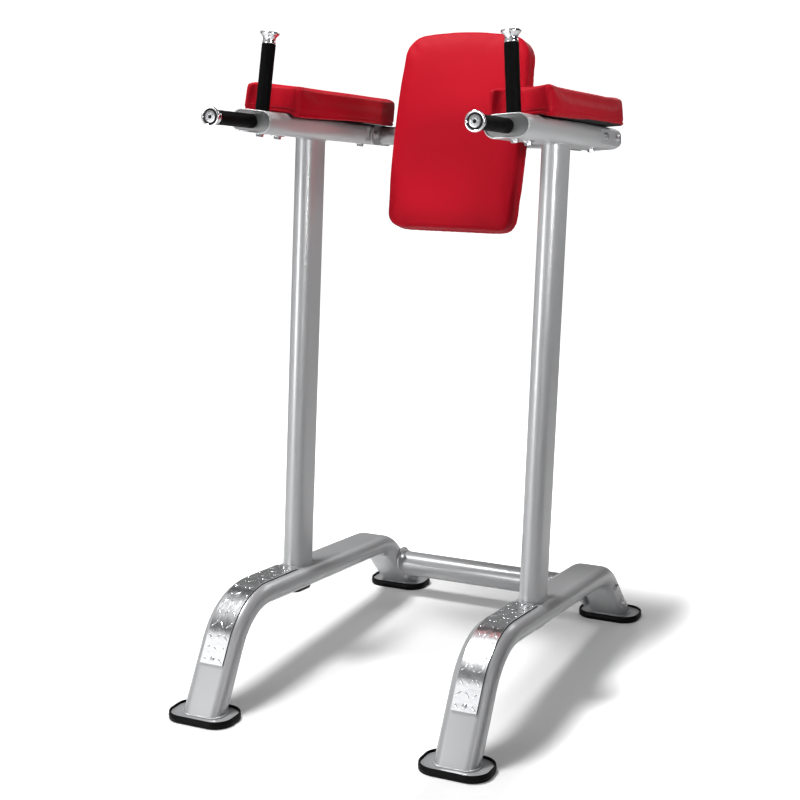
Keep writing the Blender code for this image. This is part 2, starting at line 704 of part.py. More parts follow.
def pad_solid():
    """Upholstered arm pad: drawn-in sides, a seam near the bottom, a soft crown and a pocket for its board."""
    pocket = PAD_BOARD_INSET - CLEARANCE
    pocket_top = PAD_BOARD_THICKNESS + CLEARANCE
    side = PAD_THICKNESS - PAD_EDGE
    levels = ((pocket, pocket_top), (pocket, 0.0), (0.0025, 0.0), (0.0008, 0.0025), (0.0014, PAD_SEAM_HEIGHT),
              (0.0, PAD_SEAM_HEIGHT + 0.003), (-0.001, side / 2), (0.0005, side),
              (0.004, side + 0.007), (0.0085, side + 0.0105), (PAD_EDGE, PAD_THICKNESS))
    rings = [[(x, y, pad_height(y, h)) for x, y in pad_outline(inset)] for inset, h in levels]
    crown = [(x, y, pad_height(y, PAD_THICKNESS + PAD_CROWN)) for x, y in crown_outline()]
    return loft(rings + [crown])


def pad_board_solid():
    outline = pad_outline(PAD_BOARD_INSET)
    return prism(outline, PAD_BOTTOM, PAD_BOTTOM + PAD_BOARD_THICKNESS, lambda a, b, h: (a, b, h))


def pad_board_cuts():
    cuts = bmesh.new()
    for y in PAD_BOLTS:
        depth = PAD_BOTTOM + BOLT_GRIP_IN_BOARD + CLEARANCE
        merge(cuts, rod(BOLT_RADIUS + CLEARANCE, (0, y, 0), (0, y, depth), BOLT_STEPS))
    return cuts


# Back pad: its outline lies in the frame's XZ plane, with Y to the rear

def back_outline(inset, scale=1.0):
    """Barrel-sided outline with an arched top, drawn in by inset."""
    half = BACK_HALF_WIDTH - inset
    low = BACK_BOTTOM + inset
    high = BACK_TOP - inset
    points = []
    corners = ((half, low, -1, BACK_BOTTOM_CORNER), (half, high, 0, BACK_TOP_CORNER),
               (-half, high, 1, BACK_TOP_CORNER), (-half, low, 2, BACK_BOTTOM_CORNER))
    for x, z, quarter, size in corners:
        corner = size - inset
        centre = (x - math.copysign(corner, x), z + (corner if z == low else -corner))
        start = quarter * math.pi / 2
        points += arc(centre, corner, start, start + math.pi / 2, 4)
        if quarter in (-1, 1):
            points += [(x, low + (high - low) * share) for share in ((0.3, 0.5, 0.7) if x > 0 else (0.7, 0.5, 0.3))]
        if quarter == 0:
            points += [(x * share, z) for share in (0.45, 0.0, -0.45)]
        if quarter == 2:
            points += [(x * share, z) for share in (0.5, 0.0, -0.5)]
    middle = (low + high) / 2
    reach = (high - low) / 2
    shaped = []
    for x, z in points:
        up = (z - middle) / reach
        barrel = math.copysign(BACK_BARREL * (1 - up * up), x) if abs(x) > 0.001 else 0.0
        arch = BACK_ARCH * (1 - (x / BACK_HALF_WIDTH) ** 2) * max(0.0, up)
        shaped.append(((x + barrel) * scale, middle + (z + arch - middle) * scale))
    return shaped


def bow(z):
    """How far back the bowed pad lies at a height above or below its middle."""
    return BACK_BOW * (z / BACK_BOTTOM) ** 2


def back_ring(outline, depth):
    return [(x, depth + bow(z), z) for x, z in outline]


def back_loft(rings):
    """A closed solid through rings, whose ends are filled with level strips so that each face is flat."""
    bm = bmesh.new()
    loops = [add_ring(bm, ring) for ring in rings]
    for first, second in zip(loops, loops[1:]):
        bridge(bm, first, second)
    for loop in (loops[0], loops[-1]):
        # from the middle of the straight bottom edge, so that level[i] and level[-i] lie at one height
        level = loop[-2:] + loop[:-2]
        top = len(level) // 2
        bm.faces.new(level[-3:] + level[:4])
        for i in range(3, top - 1):
            bm.faces.new((level[i], level[i + 1], level[-i - 1], level[-i]))
        bm.faces.new((level[top - 1], level[top], level[-top + 1]))
    bmesh.ops.recalc_face_normals(bm, faces=bm.faces)
    return bm


def back_pad_solid():
    """Upholstered back pad with a rounded front edge, a crown and a pocket for its board."""
    pocket = BACK_BOARD_INSET - CLEARANCE
    pocket_depth = BACK_THICKNESS - BACK_BOARD_THICKNESS - CLEARANCE
    levels = ((pocket, pocket_depth), (pocket, BACK_THICKNESS), (0.003, BACK_THICKNESS),
              (0.001, BACK_THICKNESS - 0.003), (0.0, BACK_THICKNESS - 0.010), (0.0, BACK_EDGE),
              (0.0018, BACK_EDGE / 2), (0.0065, BACK_EDGE / 5), (0.0130, BACK_EDGE / 20), (BACK_EDGE, 0.0))
    rings = [back_ring(back_outline(inset), depth) for inset, depth in levels]
    for scale, share in BACK_CROWN_RINGS:
        rings.append(back_ring(back_outline(BACK_EDGE, scale), -BACK_CROWN * share))
    return back_loft(rings)


def back_board_solid():
    outline = back_outline(BACK_BOARD_INSET)
    front = BACK_THICKNESS - BACK_BOARD_THICKNESS
    return back_loft([back_ring(outline, front), back_ring(outline, BACK_THICKNESS)])


BRACKET_FRONT = BACK_THICKNESS + bow(BRACKET_HALF_HEIGHT) + CLEARANCE


def bracket_solid():
    """Flat plate behind the bowed board."""
    outline = rounded_rectangle(2 * BRACKET_HALF_WIDTH, 2 * BRACKET_HALF_HEIGHT, BRACKET_CORNER, 3)
    return prism(outline, BRACKET_FRONT, BRACKET_FRONT + BRACKET_PLATE, lambda a, b, h: (a, h, b))


# Assembly

def clear_scene():
    for leftover in list(bpy.data.objects):
        bpy.data.objects.remove(leftover, do_unlink=True)


def build_bases():
    """Feet, foot plates, legs, tread plates, plugs and uprights."""
    tilted = place_frame("tilted_frame", TILT)
    shapes = {}
    for side, sign in (("left", -1), ("right", 1)):
        centre = (sign * SIDE_X, 0, 0)
        if not shapes:
            shapes["leg"] = piece(f"{side}_leg", leg_solid(), SILVER, None, centre)
            shapes["tread"] = piece(f"{side}_tread_plate", tread_solid(), TREAD, None, centre)
            shapes["plug"] = piece(f"{side}_beam_plug", plug_solid(), PLASTIC, tilted, centre)
            leg = shapes["leg"]
        else:
            leg = copy_piece(f"{side}_leg", shapes["leg"], None, centre)
            copy_piece(f"{side}_tread_plate", shapes["tread"], None, centre)
            copy_piece(f"{side}_beam_plug", shapes["plug"], tilted, centre)
        combine(leg, f"{side}_leg_cuts", leg_cuts())
        upright = upright_solid() if sign > 0 else mirrored(upright_solid())
        piece(f"{side}_upright", upright, SILVER, tilted)
        for end, y in (("front", FRONT_FOOT_Y), ("rear", REAR_FOOT_Y)):
            place = (sign * SIDE_X, y, 0)
            piece(f"{side}_{end}_foot", foot_solid(), RUBBER, None, place)
            piece(f"{side}_{end}_foot_plate", foot_plate_solid(), SILVER, None, place)
    return tilted


def arm_matrix(sign):
    place = Matrix.Translation((sign * ARM_X, 0, ARM_Z))
    return TILT @ place @ Matrix.Rotation(-sign * ARM_ROLL, 4, "Y")


def build_handle(name, frame, inner_end):
    """A handle's tube, rubber grip and end cap, in the handle's frame."""
    piece(f"{name}_tube", handle_solid(inner_end), SILVER, frame)
    piece(f"{name}_grip", grip_solid(), RUBBER, frame)
    piece(f"{name}_cap", cap_solid(), CHROME, frame)


def build_arm(side, sign):
    """One arm with its end pieces, handles, pad and bolts."""
    matrix = arm_matrix(sign)
    frame = place_frame(f"{side}_arm_frame", matrix)
    arm = piece(f"{side}_arm", arm_solid(), SILVER, frame)
    combine(arm, f"{side}_arm_cuts", arm_cuts())
    piece(f"{side}_arm_front_plate", arm_front_plate_solid(), SILVER, frame)
    piece(f"{side}_arm_rear_cap", arm_rear_cap_solid(), PLASTIC, frame)

    plate_face = ARM_FRONT + FRONT_PLATE_RECESS - CLEARANCE
    forward = Matrix.Translation((0, plate_face, 0)) @ Matrix.Rotation(math.pi / 2, 4, "X")
    room = UP_HANDLE_Y - HANDLE_RADIUS - CLEARANCE - plate_face
    dip_frame = place_frame(f"{side}_dip_handle_frame", matrix @ forward)
    build_handle(f"{side}_dip_handle", dip_frame, -room)

    arm_top = BEAM_HEIGHT / 2 + CLEARANCE
    arm_floor = BEAM_WALL + CLEARANCE - BEAM_HEIGHT / 2
    up_frame = place_frame(f"{side}_up_handle_frame", matrix @ Matrix.Translation((0, UP_HANDLE_Y, arm_top)))
    build_handle(f"{side}_up_handle", up_frame, arm_floor - arm_top)

    piece(f"{side}_arm_pad", pad_solid(), VINYL, frame)
    board = piece(f"{side}_arm_pad_board", pad_board_solid(), BOARD, frame)
    combine(board, f"{side}_board_cuts", pad_board_cuts())

    upward = Matrix.Rotation(math.pi, 4, "X")
    under = -BEAM_HEIGHT / 2
    for end, y, length in (("up_handle", UP_HANDLE_Y, BEAM_HEIGHT / 2),
                           ("front_pad", FRONT_PAD_BOLT, BEAM_HEIGHT + BOLT_GRIP_IN_BOARD),
                           ("rear_pad", REAR_PAD_BOLT, BEAM_HEIGHT + BOLT_GRIP_IN_BOARD)):
        spot = place_frame(f"{side}_{end}_bolt_spot", matrix @ Matrix.Translation((0, y, under)) @ upward)
        piece(f"{side}_{end}_bolt", bolt_solid(length), STEEL, spot)

    outward = Matrix.Rotation(sign * math.pi / 2, 4, "Y")
    reach = 2 * PRESSED_HALF + FLANGE_THICKNESS + BOLT_END
    for end, y in zip(("front", "rear"), UPPER_BOLTS):
        seat = Matrix.Translation((sign * PRESSED_HALF, y, 0)) @ outward
        spot = place_frame(f"{side}_{end}_arm_bolt_spot", matrix @ seat)
        piece(f"{side}_{end}_arm_bolt", bolt_solid(reach), STEEL, spot)


def build_lower_cross():
    """Cross tube between the rear legs, with its four bolts."""
    y, z = LOWER_CROSS
    face = SIDE_X - PRESSED_HALF - CLEARANCE
    along = Matrix.Rotation(-REAR_LEG_ANGLE, 4, "X")
    plates = []
    for sign in (-1, 1):
        # local +Z looks out at the leg, local +X runs down the leg
        axes = Matrix(((0, 0, sign), (1, 0, 0), (0, sign, 0))).to_4x4()
        plates.append(Matrix.Translation((sign * face, y, z)) @ along @ axes)
    pattern = (LOWER_FLANGE_LENGTH, LOWER_FLANGE_WIDTH, (-LOWER_BOLT_OFFSET, LOWER_BOLT_OFFSET))
    cross_tube("lower_cross_tube", LOWER_CROSS_RADIUS, (y, z), plates, pattern, None)
    reach = 2 * PRESSED_HALF + FLANGE_THICKNESS + BOLT_END
    for side, sign in (("left", -1), ("right", 1)):
        for end, (bolt_y, bolt_z) in zip(("upper", "lower"), LOWER_BOLTS):
            seat = Matrix.Translation((sign * (SIDE_X + PRESSED_HALF), bolt_y, bolt_z))
            spot = place_frame(f"{side}_{end}_leg_bolt_spot", seat @ Matrix.Rotation(sign * math.pi / 2, 4, "Y"))
            piece(f"{side}_{end}_leg_bolt", bolt_solid(reach), STEEL, spot)


def upper_plates():
    """The upper flanges' matrices in the tilted frame, outward faces on the arms' inner flats."""
    plates = []
    for sign in (-1, 1):
        arm = TILT.inverted() @ arm_matrix(sign)
        axes = Matrix(((0, 0, sign), (1, 0, 0), (0, sign, 0))).to_4x4()
        seat = Matrix.Translation((-sign * (PRESSED_HALF + CLEARANCE), UPPER_CROSS_Y, 0))
        plates.append(arm @ seat @ axes)
    return plates


def build_upper_cross(tilted):
    """Cross tube between the arms."""
    plates = upper_plates()
    middle = plates[0] @ Vector((0, 0, -FLANGE_THICKNESS / 2))
    pattern = (UPPER_FLANGE_LENGTH, UPPER_FLANGE_WIDTH, (-UPPER_BOLT_OFFSET, UPPER_BOLT_OFFSET))
    cross_tube("upper_cross_tube", UPPER_CROSS_RADIUS, (middle.y, middle.z), plates, pattern, tilted)
    return TILT @ Vector((0, middle.y, middle.z))


def build_back(tube_centre):
    """Back pad, its board and the bracket that holds it to the upper cross tube."""
    middle = tube_centre + Vector((0, -BACK_AHEAD_OF_TUBE, BACK_ABOVE_TUBE))
    lean = Matrix.Translation(middle) @ Matrix.Rotation(-BACK_LEAN, 4, "X")
    frame = place_frame("back_pad_frame", lean)
    piece("back_pad", back_pad_solid(), VINYL, frame)
    piece("back_pad_board", back_board_solid(), BOARD, frame)
    bracket = piece("back_pad_bracket", bracket_solid(), SILVER, frame)
    centre = lean.inverted() @ tube_centre
    root = BRACKET_FRONT + BRACKET_PLATE / 2
    low = centre.z - RIB_HALF_HEIGHT
    high = centre.z + RIB_HALF_HEIGHT
    outline = ((root, low), (centre.y, low), (centre.y, high), (root, high))
    for side, sign in (("left", -1), ("right", 1)):
        rib = prism(outline, sign * RIB_X - RIB_THICKNESS / 2, sign * RIB_X + RIB_THICKNESS / 2,
                    lambda a, b, h: (h, a, b))
        combine(bracket, f"bracket_{side}_rib", rib, "UNION")
    reach = Vector((2 * RIB_X, 0, 0))
    seat = rod(UPPER_CROSS_RADIUS + CLEARANCE, centre - reach, centre + reach, TUBE_STEPS)
    combine(bracket, "bracket_tube_seat", seat)


def main():
    clear_scene()
    tilted = build_bases()
    build_lower_cross()
    for side, sign in (("left", -1), ("right", 1)):
        build_arm(side, sign)
    tube_centre = build_upper_cross(tilted)
    build_back(tube_centre)
    bpy.context.view_layer.update()


main()
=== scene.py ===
# %% [markdown]
# # A dip and knee raise station
#
# This gym frame stands free on four rubber feet. Two bent side frames lean back a little, two uprights
# carry padded arms, and a back pad hangs between the arms. The lesson dresses the imported solids of the
# station: it keeps their places and sizes, and gives each piece the shape and the finish that a close
# look shows. The frame is loaded first, because later cells hide its solids as they replace them, and
# finish the ones that are kept.

# %% Load the solids
import math

import bmesh
import bpy
from mathutils import Matrix, Vector
from mathutils.bvhtree import BVHTree


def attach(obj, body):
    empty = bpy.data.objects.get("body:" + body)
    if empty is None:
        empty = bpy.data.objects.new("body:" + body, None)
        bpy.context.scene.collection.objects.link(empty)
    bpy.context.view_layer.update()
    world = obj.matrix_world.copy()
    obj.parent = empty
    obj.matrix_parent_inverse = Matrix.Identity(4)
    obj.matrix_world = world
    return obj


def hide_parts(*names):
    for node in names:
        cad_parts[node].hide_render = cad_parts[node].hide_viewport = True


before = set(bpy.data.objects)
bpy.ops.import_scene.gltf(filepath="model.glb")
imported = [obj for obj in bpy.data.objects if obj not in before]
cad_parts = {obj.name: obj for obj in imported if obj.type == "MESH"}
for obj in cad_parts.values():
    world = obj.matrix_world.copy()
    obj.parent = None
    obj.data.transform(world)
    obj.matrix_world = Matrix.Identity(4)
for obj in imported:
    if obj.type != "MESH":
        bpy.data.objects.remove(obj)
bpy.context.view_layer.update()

# %% [markdown]
# ## Sizes
#
# The station is built from two flat-oval tubes: a wide one for legs and arms and a narrower one for the
# uprights. Everything above the feet leans back by one angle, so the uprights, beams and arms are
# easiest to describe in a tilted frame where they are plumb and level. Each arm also rolls a few
# degrees about its own length, so that the forearm pads slope inwards.

# %% Name the sizes
SIDES = (("left", -1), ("right", 1))
FRAME_TILT = math.radians(5.1)
ARM_ROLL = math.radians(5.0)
BEAM_WIDTH = 0.108
BEAM_HEIGHT = 0.054
WALL = 0.003
SIDE_X = 0.328
BEAM_Z = 0.2122
LEG_BASE_Z = 0.0136
FRONT_BASE = Vector((0, -0.546, LEG_BASE_Z))
REAR_BASE = Vector((0, 0.550, LEG_BASE_Z))
FRONT_LEG_ANGLE = math.radians(58.7)
REAR_LEG_ANGLE = math.radians(45.0)
BEND_RADIUS = 0.167
UPRIGHT_Y = -0.105
UPRIGHT_WIDTH = 0.052
UPRIGHT_DEPTH = 0.100
PRESSED_HALF = 0.047        # half width where a round side is pressed flat
PRESS_RUN = 0.013
PRESS_SOFT = 0.0020
ARM_X = 0.3215
ARM_Z = 1.3652
ARM_FRONT = -0.413
ARM_REAR = 0.268
UNDER_ARM = BEAM_HEIGHT / 2
CLEARANCE = 0.0003          # between pieces that touch

TILT = Matrix.Rotation(-FRAME_TILT, 4, "X")


def arm_frame(sign):
    """Where an arm lies: its origin on the centre line, +Y to the rear, +Z up."""
    place = Matrix.Translation((sign * ARM_X, 0, ARM_Z))
    return TILT @ place @ Matrix.Rotation(-sign * ARM_ROLL, 4, "Y")


for side, sign in SIDES:
    print(side, "arm at", tuple(round(value, 4) for value in arm_frame(sign).translation))

# %% [markdown]
# ## Writing node trees as sums
#
# Both the finishes and the repeated pieces come from node trees. Wired by hand, even a short formula is
# a dozen lines. A small class that wraps one output socket and overloads the arithmetic operators lets
# the script say `1 - mask` and have Blender add the Math nodes.

# %% Wrap sockets so that they add and multiply
class Field:
    """One output socket of a node tree."""

    def __init__(self, graph, socket):
        self.graph = graph
        self.socket = socket

    def maths(self, operation, *values):
        return self.graph.node("ShaderNodeMath", {"operation": operation}, dict(enumerate(values)))

    def __add__(self, other):
        return self.maths("ADD", self, other)

    def __radd__(self, other):
        return self.maths("ADD", other, self)

    def __sub__(self, other):
        return self.maths("SUBTRACT", self, other)

    def __rsub__(self, other):
        return self.maths("SUBTRACT", other, self)

    def __mul__(self, other):
        return self.maths("MULTIPLY", self, other)

    def __rmul__(self, other):
        return self.maths("MULTIPLY", other, self)

    def __truediv__(self, other):
        return self.maths("DIVIDE", self, other)

    def __abs__(self):
        return self.maths("ABSOLUTE", self)

    def sine(self):
        return self.maths("SINE", self)

    def sign(self):
        return self.maths("SIGN", self)

    def ramp(self, low, high, start=0.0, end=1.0):
        """Eases from start to end as the field goes from low to high."""
        sockets = {"Value": self, "From Min": low, "From Max": high, "To Min": start, "To Max": end}
        return self.graph.node("ShaderNodeMapRange", {"interpolation_type": "SMOOTHSTEP"}, sockets)

    def axis(self, name):
        return self.graph.node("ShaderNodeSeparateXYZ", {}, {0: self}, name)


class Graph:
    """Adds nodes to a tree and feeds their sockets with values or fields."""

    def __init__(self, tree):
        self.tree = tree

    def feed(self, socket, value):
        if isinstance(value, Field):
            self.tree.links.new(value.socket, socket)
        else:
            socket.default_value = value

    def node(self, kind, settings=None, sockets=None, output=0):
        made = self.tree.nodes.new(kind)
        for name, value in (settings or {}).items():
            setattr(made, name, value)
        for name, value in (sockets or {}).items():
            self.feed(made.inputs[name], value)
        return Field(self, made.outputs[output])

    def vector(self, x, y, z):
        return self.node("ShaderNodeCombineXYZ", {}, {0: x, 1: y, 2: z})

    def vectors(self, operation, *values):
        return self.node("ShaderNodeVectorMath", {"operation": operation}, dict(enumerate(values)))

    def seen_and_mirrored(self):
        """Two masks: rays from the camera, and rays that a shiny surface sent on."""
        rays = self.node("ShaderNodeLightPath").socket.node.outputs
        return Field(self, rays["Is Camera Ray"]), Field(self, rays["Is Glossy Ray"])


# %% [markdown]
# ## Finishes
#
# Each finish is one Principled shader. What is the same all over a piece is a number on the shader's
# own socket; what varies comes from noise measured in metres on Object coordinates, so that a grain
# keeps its real size on every piece.

# %% A class for finishes
class Finish(Graph):
    """A material with one Principled shader."""

    def __init__(self, name, colour, constants):
        self.material = bpy.data.materials.new(name)
        self.material.use_nodes = True
        super().__init__(self.material.node_tree)
        self.shader = self.tree.nodes["Principled BSDF"]
        self.shader.inputs["Base Color"].default_value = (*colour, 1)
        self.material.diffuse_color = (*colour, 1)
        for socket, value in constants.items():
            self.shader.inputs[socket].default_value = value
        self.place = self.node("ShaderNodeTexCoord", {}, {}, "Object")

    def noise(self, per_metre, detail=2.0, stretch=(1, 1, 1)):
        place = self.vectors("MULTIPLY", self.place, stretch)
        return self.node("ShaderNodeTexNoise", {}, {"Vector": place, "Scale": per_metre, "Detail": detail})

    def cells(self, per_metre):
        """How far each point lies from the edge of its cell."""
        sockets = {"Vector": self.place, "Scale": per_metre}
        return self.node("ShaderNodeTexVoronoi", {"feature": "DISTANCE_TO_EDGE"}, sockets)

    def vary(self, socket, field):
        self.feed(self.shader.inputs[socket], field)

    def colour(self, factor, one, other):
        sockets = {0: factor, 6: (*one, 1), 7: (*other, 1)}
        mixed = self.node("ShaderNodeMix", {"data_type": "RGBA"}, sockets, 2)
        self.vary("Base Color", mixed)

    def relief(self, height, depth, strength=1.0):
        """Bumps as deep as depth, in metres, where height is 1."""
        sockets = {"Height": height, "Distance": depth, "Strength": strength}
        self.vary("Normal", self.node("ShaderNodeBump", {}, sockets))


# %% [markdown]
# The frame is painted in a fine metallic grey: a satin base with tiny flakes under a clear coat. Real
# paint is never quite flat, so a very shallow orange-peel relief breaks the long highlights on the
# tubes. One function makes the paint at any level of grey, because the plates in the arms' mouths are
# painted darker, as painted shade for the recess they sit in.

# %% Metallic grey paint
def shades(level, tint, spread):
    """A darker and a paler colour on either side of a level of grey."""
    return ([level * share * part for part in tint] for share in (1 - spread, 1 + spread))


def silver_paint(name="silver paint", level=0.46):
    constants = {"Metallic": 0.30, "Coat Weight": 0.50, "Coat Roughness": 0.12}
    paint = Finish(name, (level, level * 1.01, level * 1.03), constants)
    flakes = paint.noise(2600, 1.0)
    cloud = paint.noise(6, 2.0)
    dark, pale = shades(level, (1.0, 1.01, 1.03), 0.09)
    paint.colour(flakes.ramp(0.35, 0.7) * 0.7 + cloud * 0.3, dark, pale)
    paint.vary("Roughness", 0.27 + cloud * 0.06 + flakes * 0.04)
    paint.relief(paint.noise(240, 2.0), 0.00006)
    return paint.material


# %% [markdown]
# Chrome shows its surroundings and little else, so only a trace of uneven polish is added. The tread
# plates are rolled aluminium: as bright, but wavy from the rolls and finely scratched by shoes. Bolts
# are zinc plated and a little blotchy.

# %% Bright metals
def chrome():
    metal = Finish("chrome", (0.86, 0.86, 0.88), {"Metallic": 1.0})
    metal.vary("Roughness", 0.05 + metal.noise(90, 3.0) * 0.06)
    return metal.material


def bright_tread():
    metal = Finish("rolled aluminium", (0.86, 0.87, 0.88), {"Metallic": 1.0})
    scratches = metal.noise(500, 3.0, (1, 0.06, 0.06)).ramp(0.56, 0.72)
    metal.vary("Roughness", 0.15 + metal.noise(40, 3.0) * 0.10 + scratches * 0.10)
    metal.relief(metal.noise(34, 2.0) + scratches * 0.02, 0.0012, 0.55)
    return metal.material


def bolt_steel(name="zinc plated steel", level=0.66):
    metal = Finish(name, (level, level * 1.01, level * 1.04), {"Metallic": 1.0})
    patches = metal.noise(420, 3.0)
    dark, pale = shades(level, (1.0, 1.01, 1.04), 0.12)
    metal.colour(patches, dark, pale)
    metal.vary("Roughness", 0.20 + patches * 0.16)
    return metal.material


# %% [markdown]
# Three blacks meet on the station. The grips are dense foam rubber with a dull, pored skin, the feet
# are harder rubber that picks up dust, and the plugs are moulded plastic with a fine spark-eroded
# grain.

# %% Blacks
def grip_rubber():
    rubber = Finish("grip rubber", (0.002, 0.002, 0.0022), {"Specular IOR Level": 0.05})
    pores = rubber.cells(1500)
    rubber.vary("Roughness", 0.50 + rubber.noise(120, 3.0) * 0.16)
    rubber.relief(pores.ramp(0.0, 0.25), 0.00008, 0.6)
    return rubber.material


def foot_rubber():
    rubber = Finish("foot rubber", (0.004, 0.004, 0.004), {"Specular IOR Level": 0.08})
    dust = rubber.noise(55, 4.0).ramp(0.50, 0.85)
    rubber.colour(dust, (0.003, 0.003, 0.003), (0.010, 0.0095, 0.009))
    rubber.vary("Roughness", 0.46 + dust * 0.25)
    rubber.relief(rubber.noise(900, 2.0), 0.00010, 0.5)
    return rubber.material


def black_plastic():
    plastic = Finish("moulded plastic", (0.007, 0.007, 0.0075), {"Specular IOR Level": 0.15})
    grain = plastic.noise(1900, 2.0)
    plastic.vary("Roughness", 0.36 + grain * 0.14)
    plastic.relief(grain, 0.00006, 0.6)
    return plastic.material


# %% [markdown]
# The pads are covered in red upholstery vinyl. Its embossed leather grain is a cell pattern about a
# millimetre across: creases between the cells are lower and a little duller, and a little darker as
# painted shade.

# %% Upholstery
def red_vinyl():
    vinyl = Finish("red vinyl", (0.45, 0.004, 0.013), {"Specular IOR Level": 0.06})
    crease_and_painted_shade = 1 - vinyl.cells(780).ramp(0.0, 0.16)
    wear = vinyl.noise(9, 3.0)
    # the creases are painted darker as painted shade; wear is a slow, random change of tone
    vinyl.colour(crease_and_painted_shade * 0.45 + wear * 0.35, (0.41, 0.0045, 0.015), (0.32, 0.003, 0.010))
    vinyl.vary("Roughness", 0.44 + crease_and_painted_shade * 0.14 + wear * 0.08)
    vinyl.relief((1 - crease_and_painted_shade) * 0.7 + vinyl.noise(1600, 2.0) * 0.3, 0.00010, 0.55)
    return vinyl.material


def red_thread():
    thread = Finish("red thread", (0.42, 0.010, 0.018), {"Roughness": 0.7})
    thread.colour(thread.noise(3000, 1.0), (0.34, 0.007, 0.013), (0.50, 0.014, 0.024))
    return thread.material


def backing_cloth():
    cloth = Finish("backing cloth", (0.020, 0.019, 0.019), {"Specular IOR Level": 0.2})
    x, z = cloth.place.axis("X"), cloth.place.axis("Z")
    threads_per_metre = 1300
    warp = abs((x * threads_per_metre * math.pi).sine())
    weft = abs((z * threads_per_metre * math.pi).sine())
    weave = warp * weft
    cloth.colour(weave * 0.8 + cloth.noise(30, 2.0) * 0.2, (0.012, 0.012, 0.012), (0.040, 0.038, 0.037))
    cloth.vary("Roughness", 0.78 + weave * 0.14)
    cloth.relief(weave, 0.00015, 0.7)
    return cloth.material


# %% [markdown]
# Every finish is made once and kept in one table, so that a piece only has to name it. Two are darker
# sisters of others: the paint in the arms' mouths, darkened as painted shade, and the steel of the
# bosses in the handle caps.

# %% Make each finish once
FINISHES = {
    "silver_paint": silver_paint(),
    # painted shade: the plates in the arms' mouths get much darker paint, standing for the shade in the
    # recess
    "mouth_painted_shade": silver_paint("darker paint", 0.17),
    "chrome": chrome(),
    "bright_tread": bright_tread(),
    "bolt_steel": bolt_steel(),
    "boss_steel": bolt_steel("darker steel", 0.30),
    "black_rubber": grip_rubber(),
    "foot_rubber": foot_rubber(),
    "black_plastic": black_plastic(),
    "red_vinyl": red_vinyl(),
    "thread": red_thread(),
    "dark_board": backing_cloth(),
}
print("finishes:", ", ".join(sorted(FINISHES)))

# %% [markdown]
# ## Meshes from outlines
#
# Most pieces are an outline carried through a few rings: a tube, a plate with rounded edges, a turned
# cap. One function skins such rings, so a piece's own code only says where its rings lie.

# %% Outlines
def arc(centre, radius, start, end, steps):
    return [(centre[0] + radius * math.cos(start + (end - start) * i / steps),
             centre[1] + radius * math.sin(start + (end - start) * i / steps)) for i in range(steps + 1)]


def flat_oval(length, width, steps=20):
    """A flat oval whose round ends point along the first axis."""
    radius = width / 2
    reach = length / 2 - radius
    quarter = math.pi / 2
    right = arc((reach, 0), radius, -quarter, quarter, steps)
    return right + arc((-reach, 0), radius, quarter, 3 * quarter, steps)


def circle(radius, steps=64):
    return arc((0, 0), radius, 0, 2 * math.pi * (steps - 1) / steps, steps - 1)


def rounded_rectangle(width, depth, corner, steps=12):
    points = []
    for quarter, (a, b) in enumerate(((1, 1), (-1, 1), (-1, -1), (1, -1))):
        centre = (a * (width / 2 - corner), b * (depth / 2 - corner))
        points += arc(centre, corner, quarter * math.pi / 2, (quarter + 1) * math.pi / 2, steps)
    return points


def hexagon(across_flats, steps=48):
    """A hexagon sampled like a circle, so that it can be skinned to one."""
    points = []
    for i in range(steps):
        angle = 2 * math.pi * i / steps
        off = (angle + math.pi / 6) % (math.pi / 3) - math.pi / 6
        radius = across_flats / 2 / math.cos(off)
        points.append((radius * math.cos(angle), radius * math.sin(angle)))
    return points


# %% [markdown]
# A skin joins neighbouring rings with quads and fills the first ring and the last. Its normals are
# worked out from the shape, so it doesn't matter which way round the rings were drawn. A finished mesh
# goes through `show`, which puts its place into the mesh, hangs it on the root body and hides the
# solids it stands for.

# %% Skins
SHARP_EDGE = 35


def skin(rings, ring_closed=False):
    """A bmesh through rings of points, whose first and last ring are filled or else joined."""
    bm = bmesh.new()
    loops = [[bm.verts.new(point) for point in ring] for ring in rings]
    pairs = list(zip(loops, loops[1:]))
    if ring_closed:
        pairs.append((loops[-1], loops[0]))
    for one, two in pairs:
        for i in range(len(one)):
            j = (i + 1) % len(one)
            bm.faces.new((one[i], one[j], two[j], two[i]))
    if not ring_closed:
        bm.faces.new(loops[0])
        bm.faces.new(loops[-1])
    bmesh.ops.recalc_face_normals(bm, faces=bm.faces)
    return bm


def stack(levels, outline):
    """Rings in planes of equal Z: levels holds (inset, height) and outline takes an inset."""
    return [[(a, b, height) for a, b in outline(inset)] for inset, height in levels]


def rounded(low, high, inset, radius, steps=4):
    """Levels of a plate from low to high whose edges are rounded."""
    levels = []
    for i in range(steps + 1):
        angle = math.pi / 2 * i / steps
        levels.append((inset + radius * (1 - math.sin(angle)), low + radius * (1 - math.cos(angle))))
    for i in range(steps + 1):
        angle = math.pi / 2 * i / steps
        levels.append((inset + radius * (1 - math.cos(angle)), high - radius * (1 - math.sin(angle))))
    return levels


def as_mesh(name, bm, finish, sharp=SHARP_EDGE):
    """A smooth-shaded mesh in one finish, with hard edges where it turns by more than sharp degrees."""
    mesh = bpy.data.meshes.new(name)
    bm.to_mesh(mesh)
    bm.free()
    mesh.materials.append(FINISHES[finish])
    mesh.shade_smooth()
    mesh.set_sharp_from_angle(angle=math.radians(sharp))
    return mesh


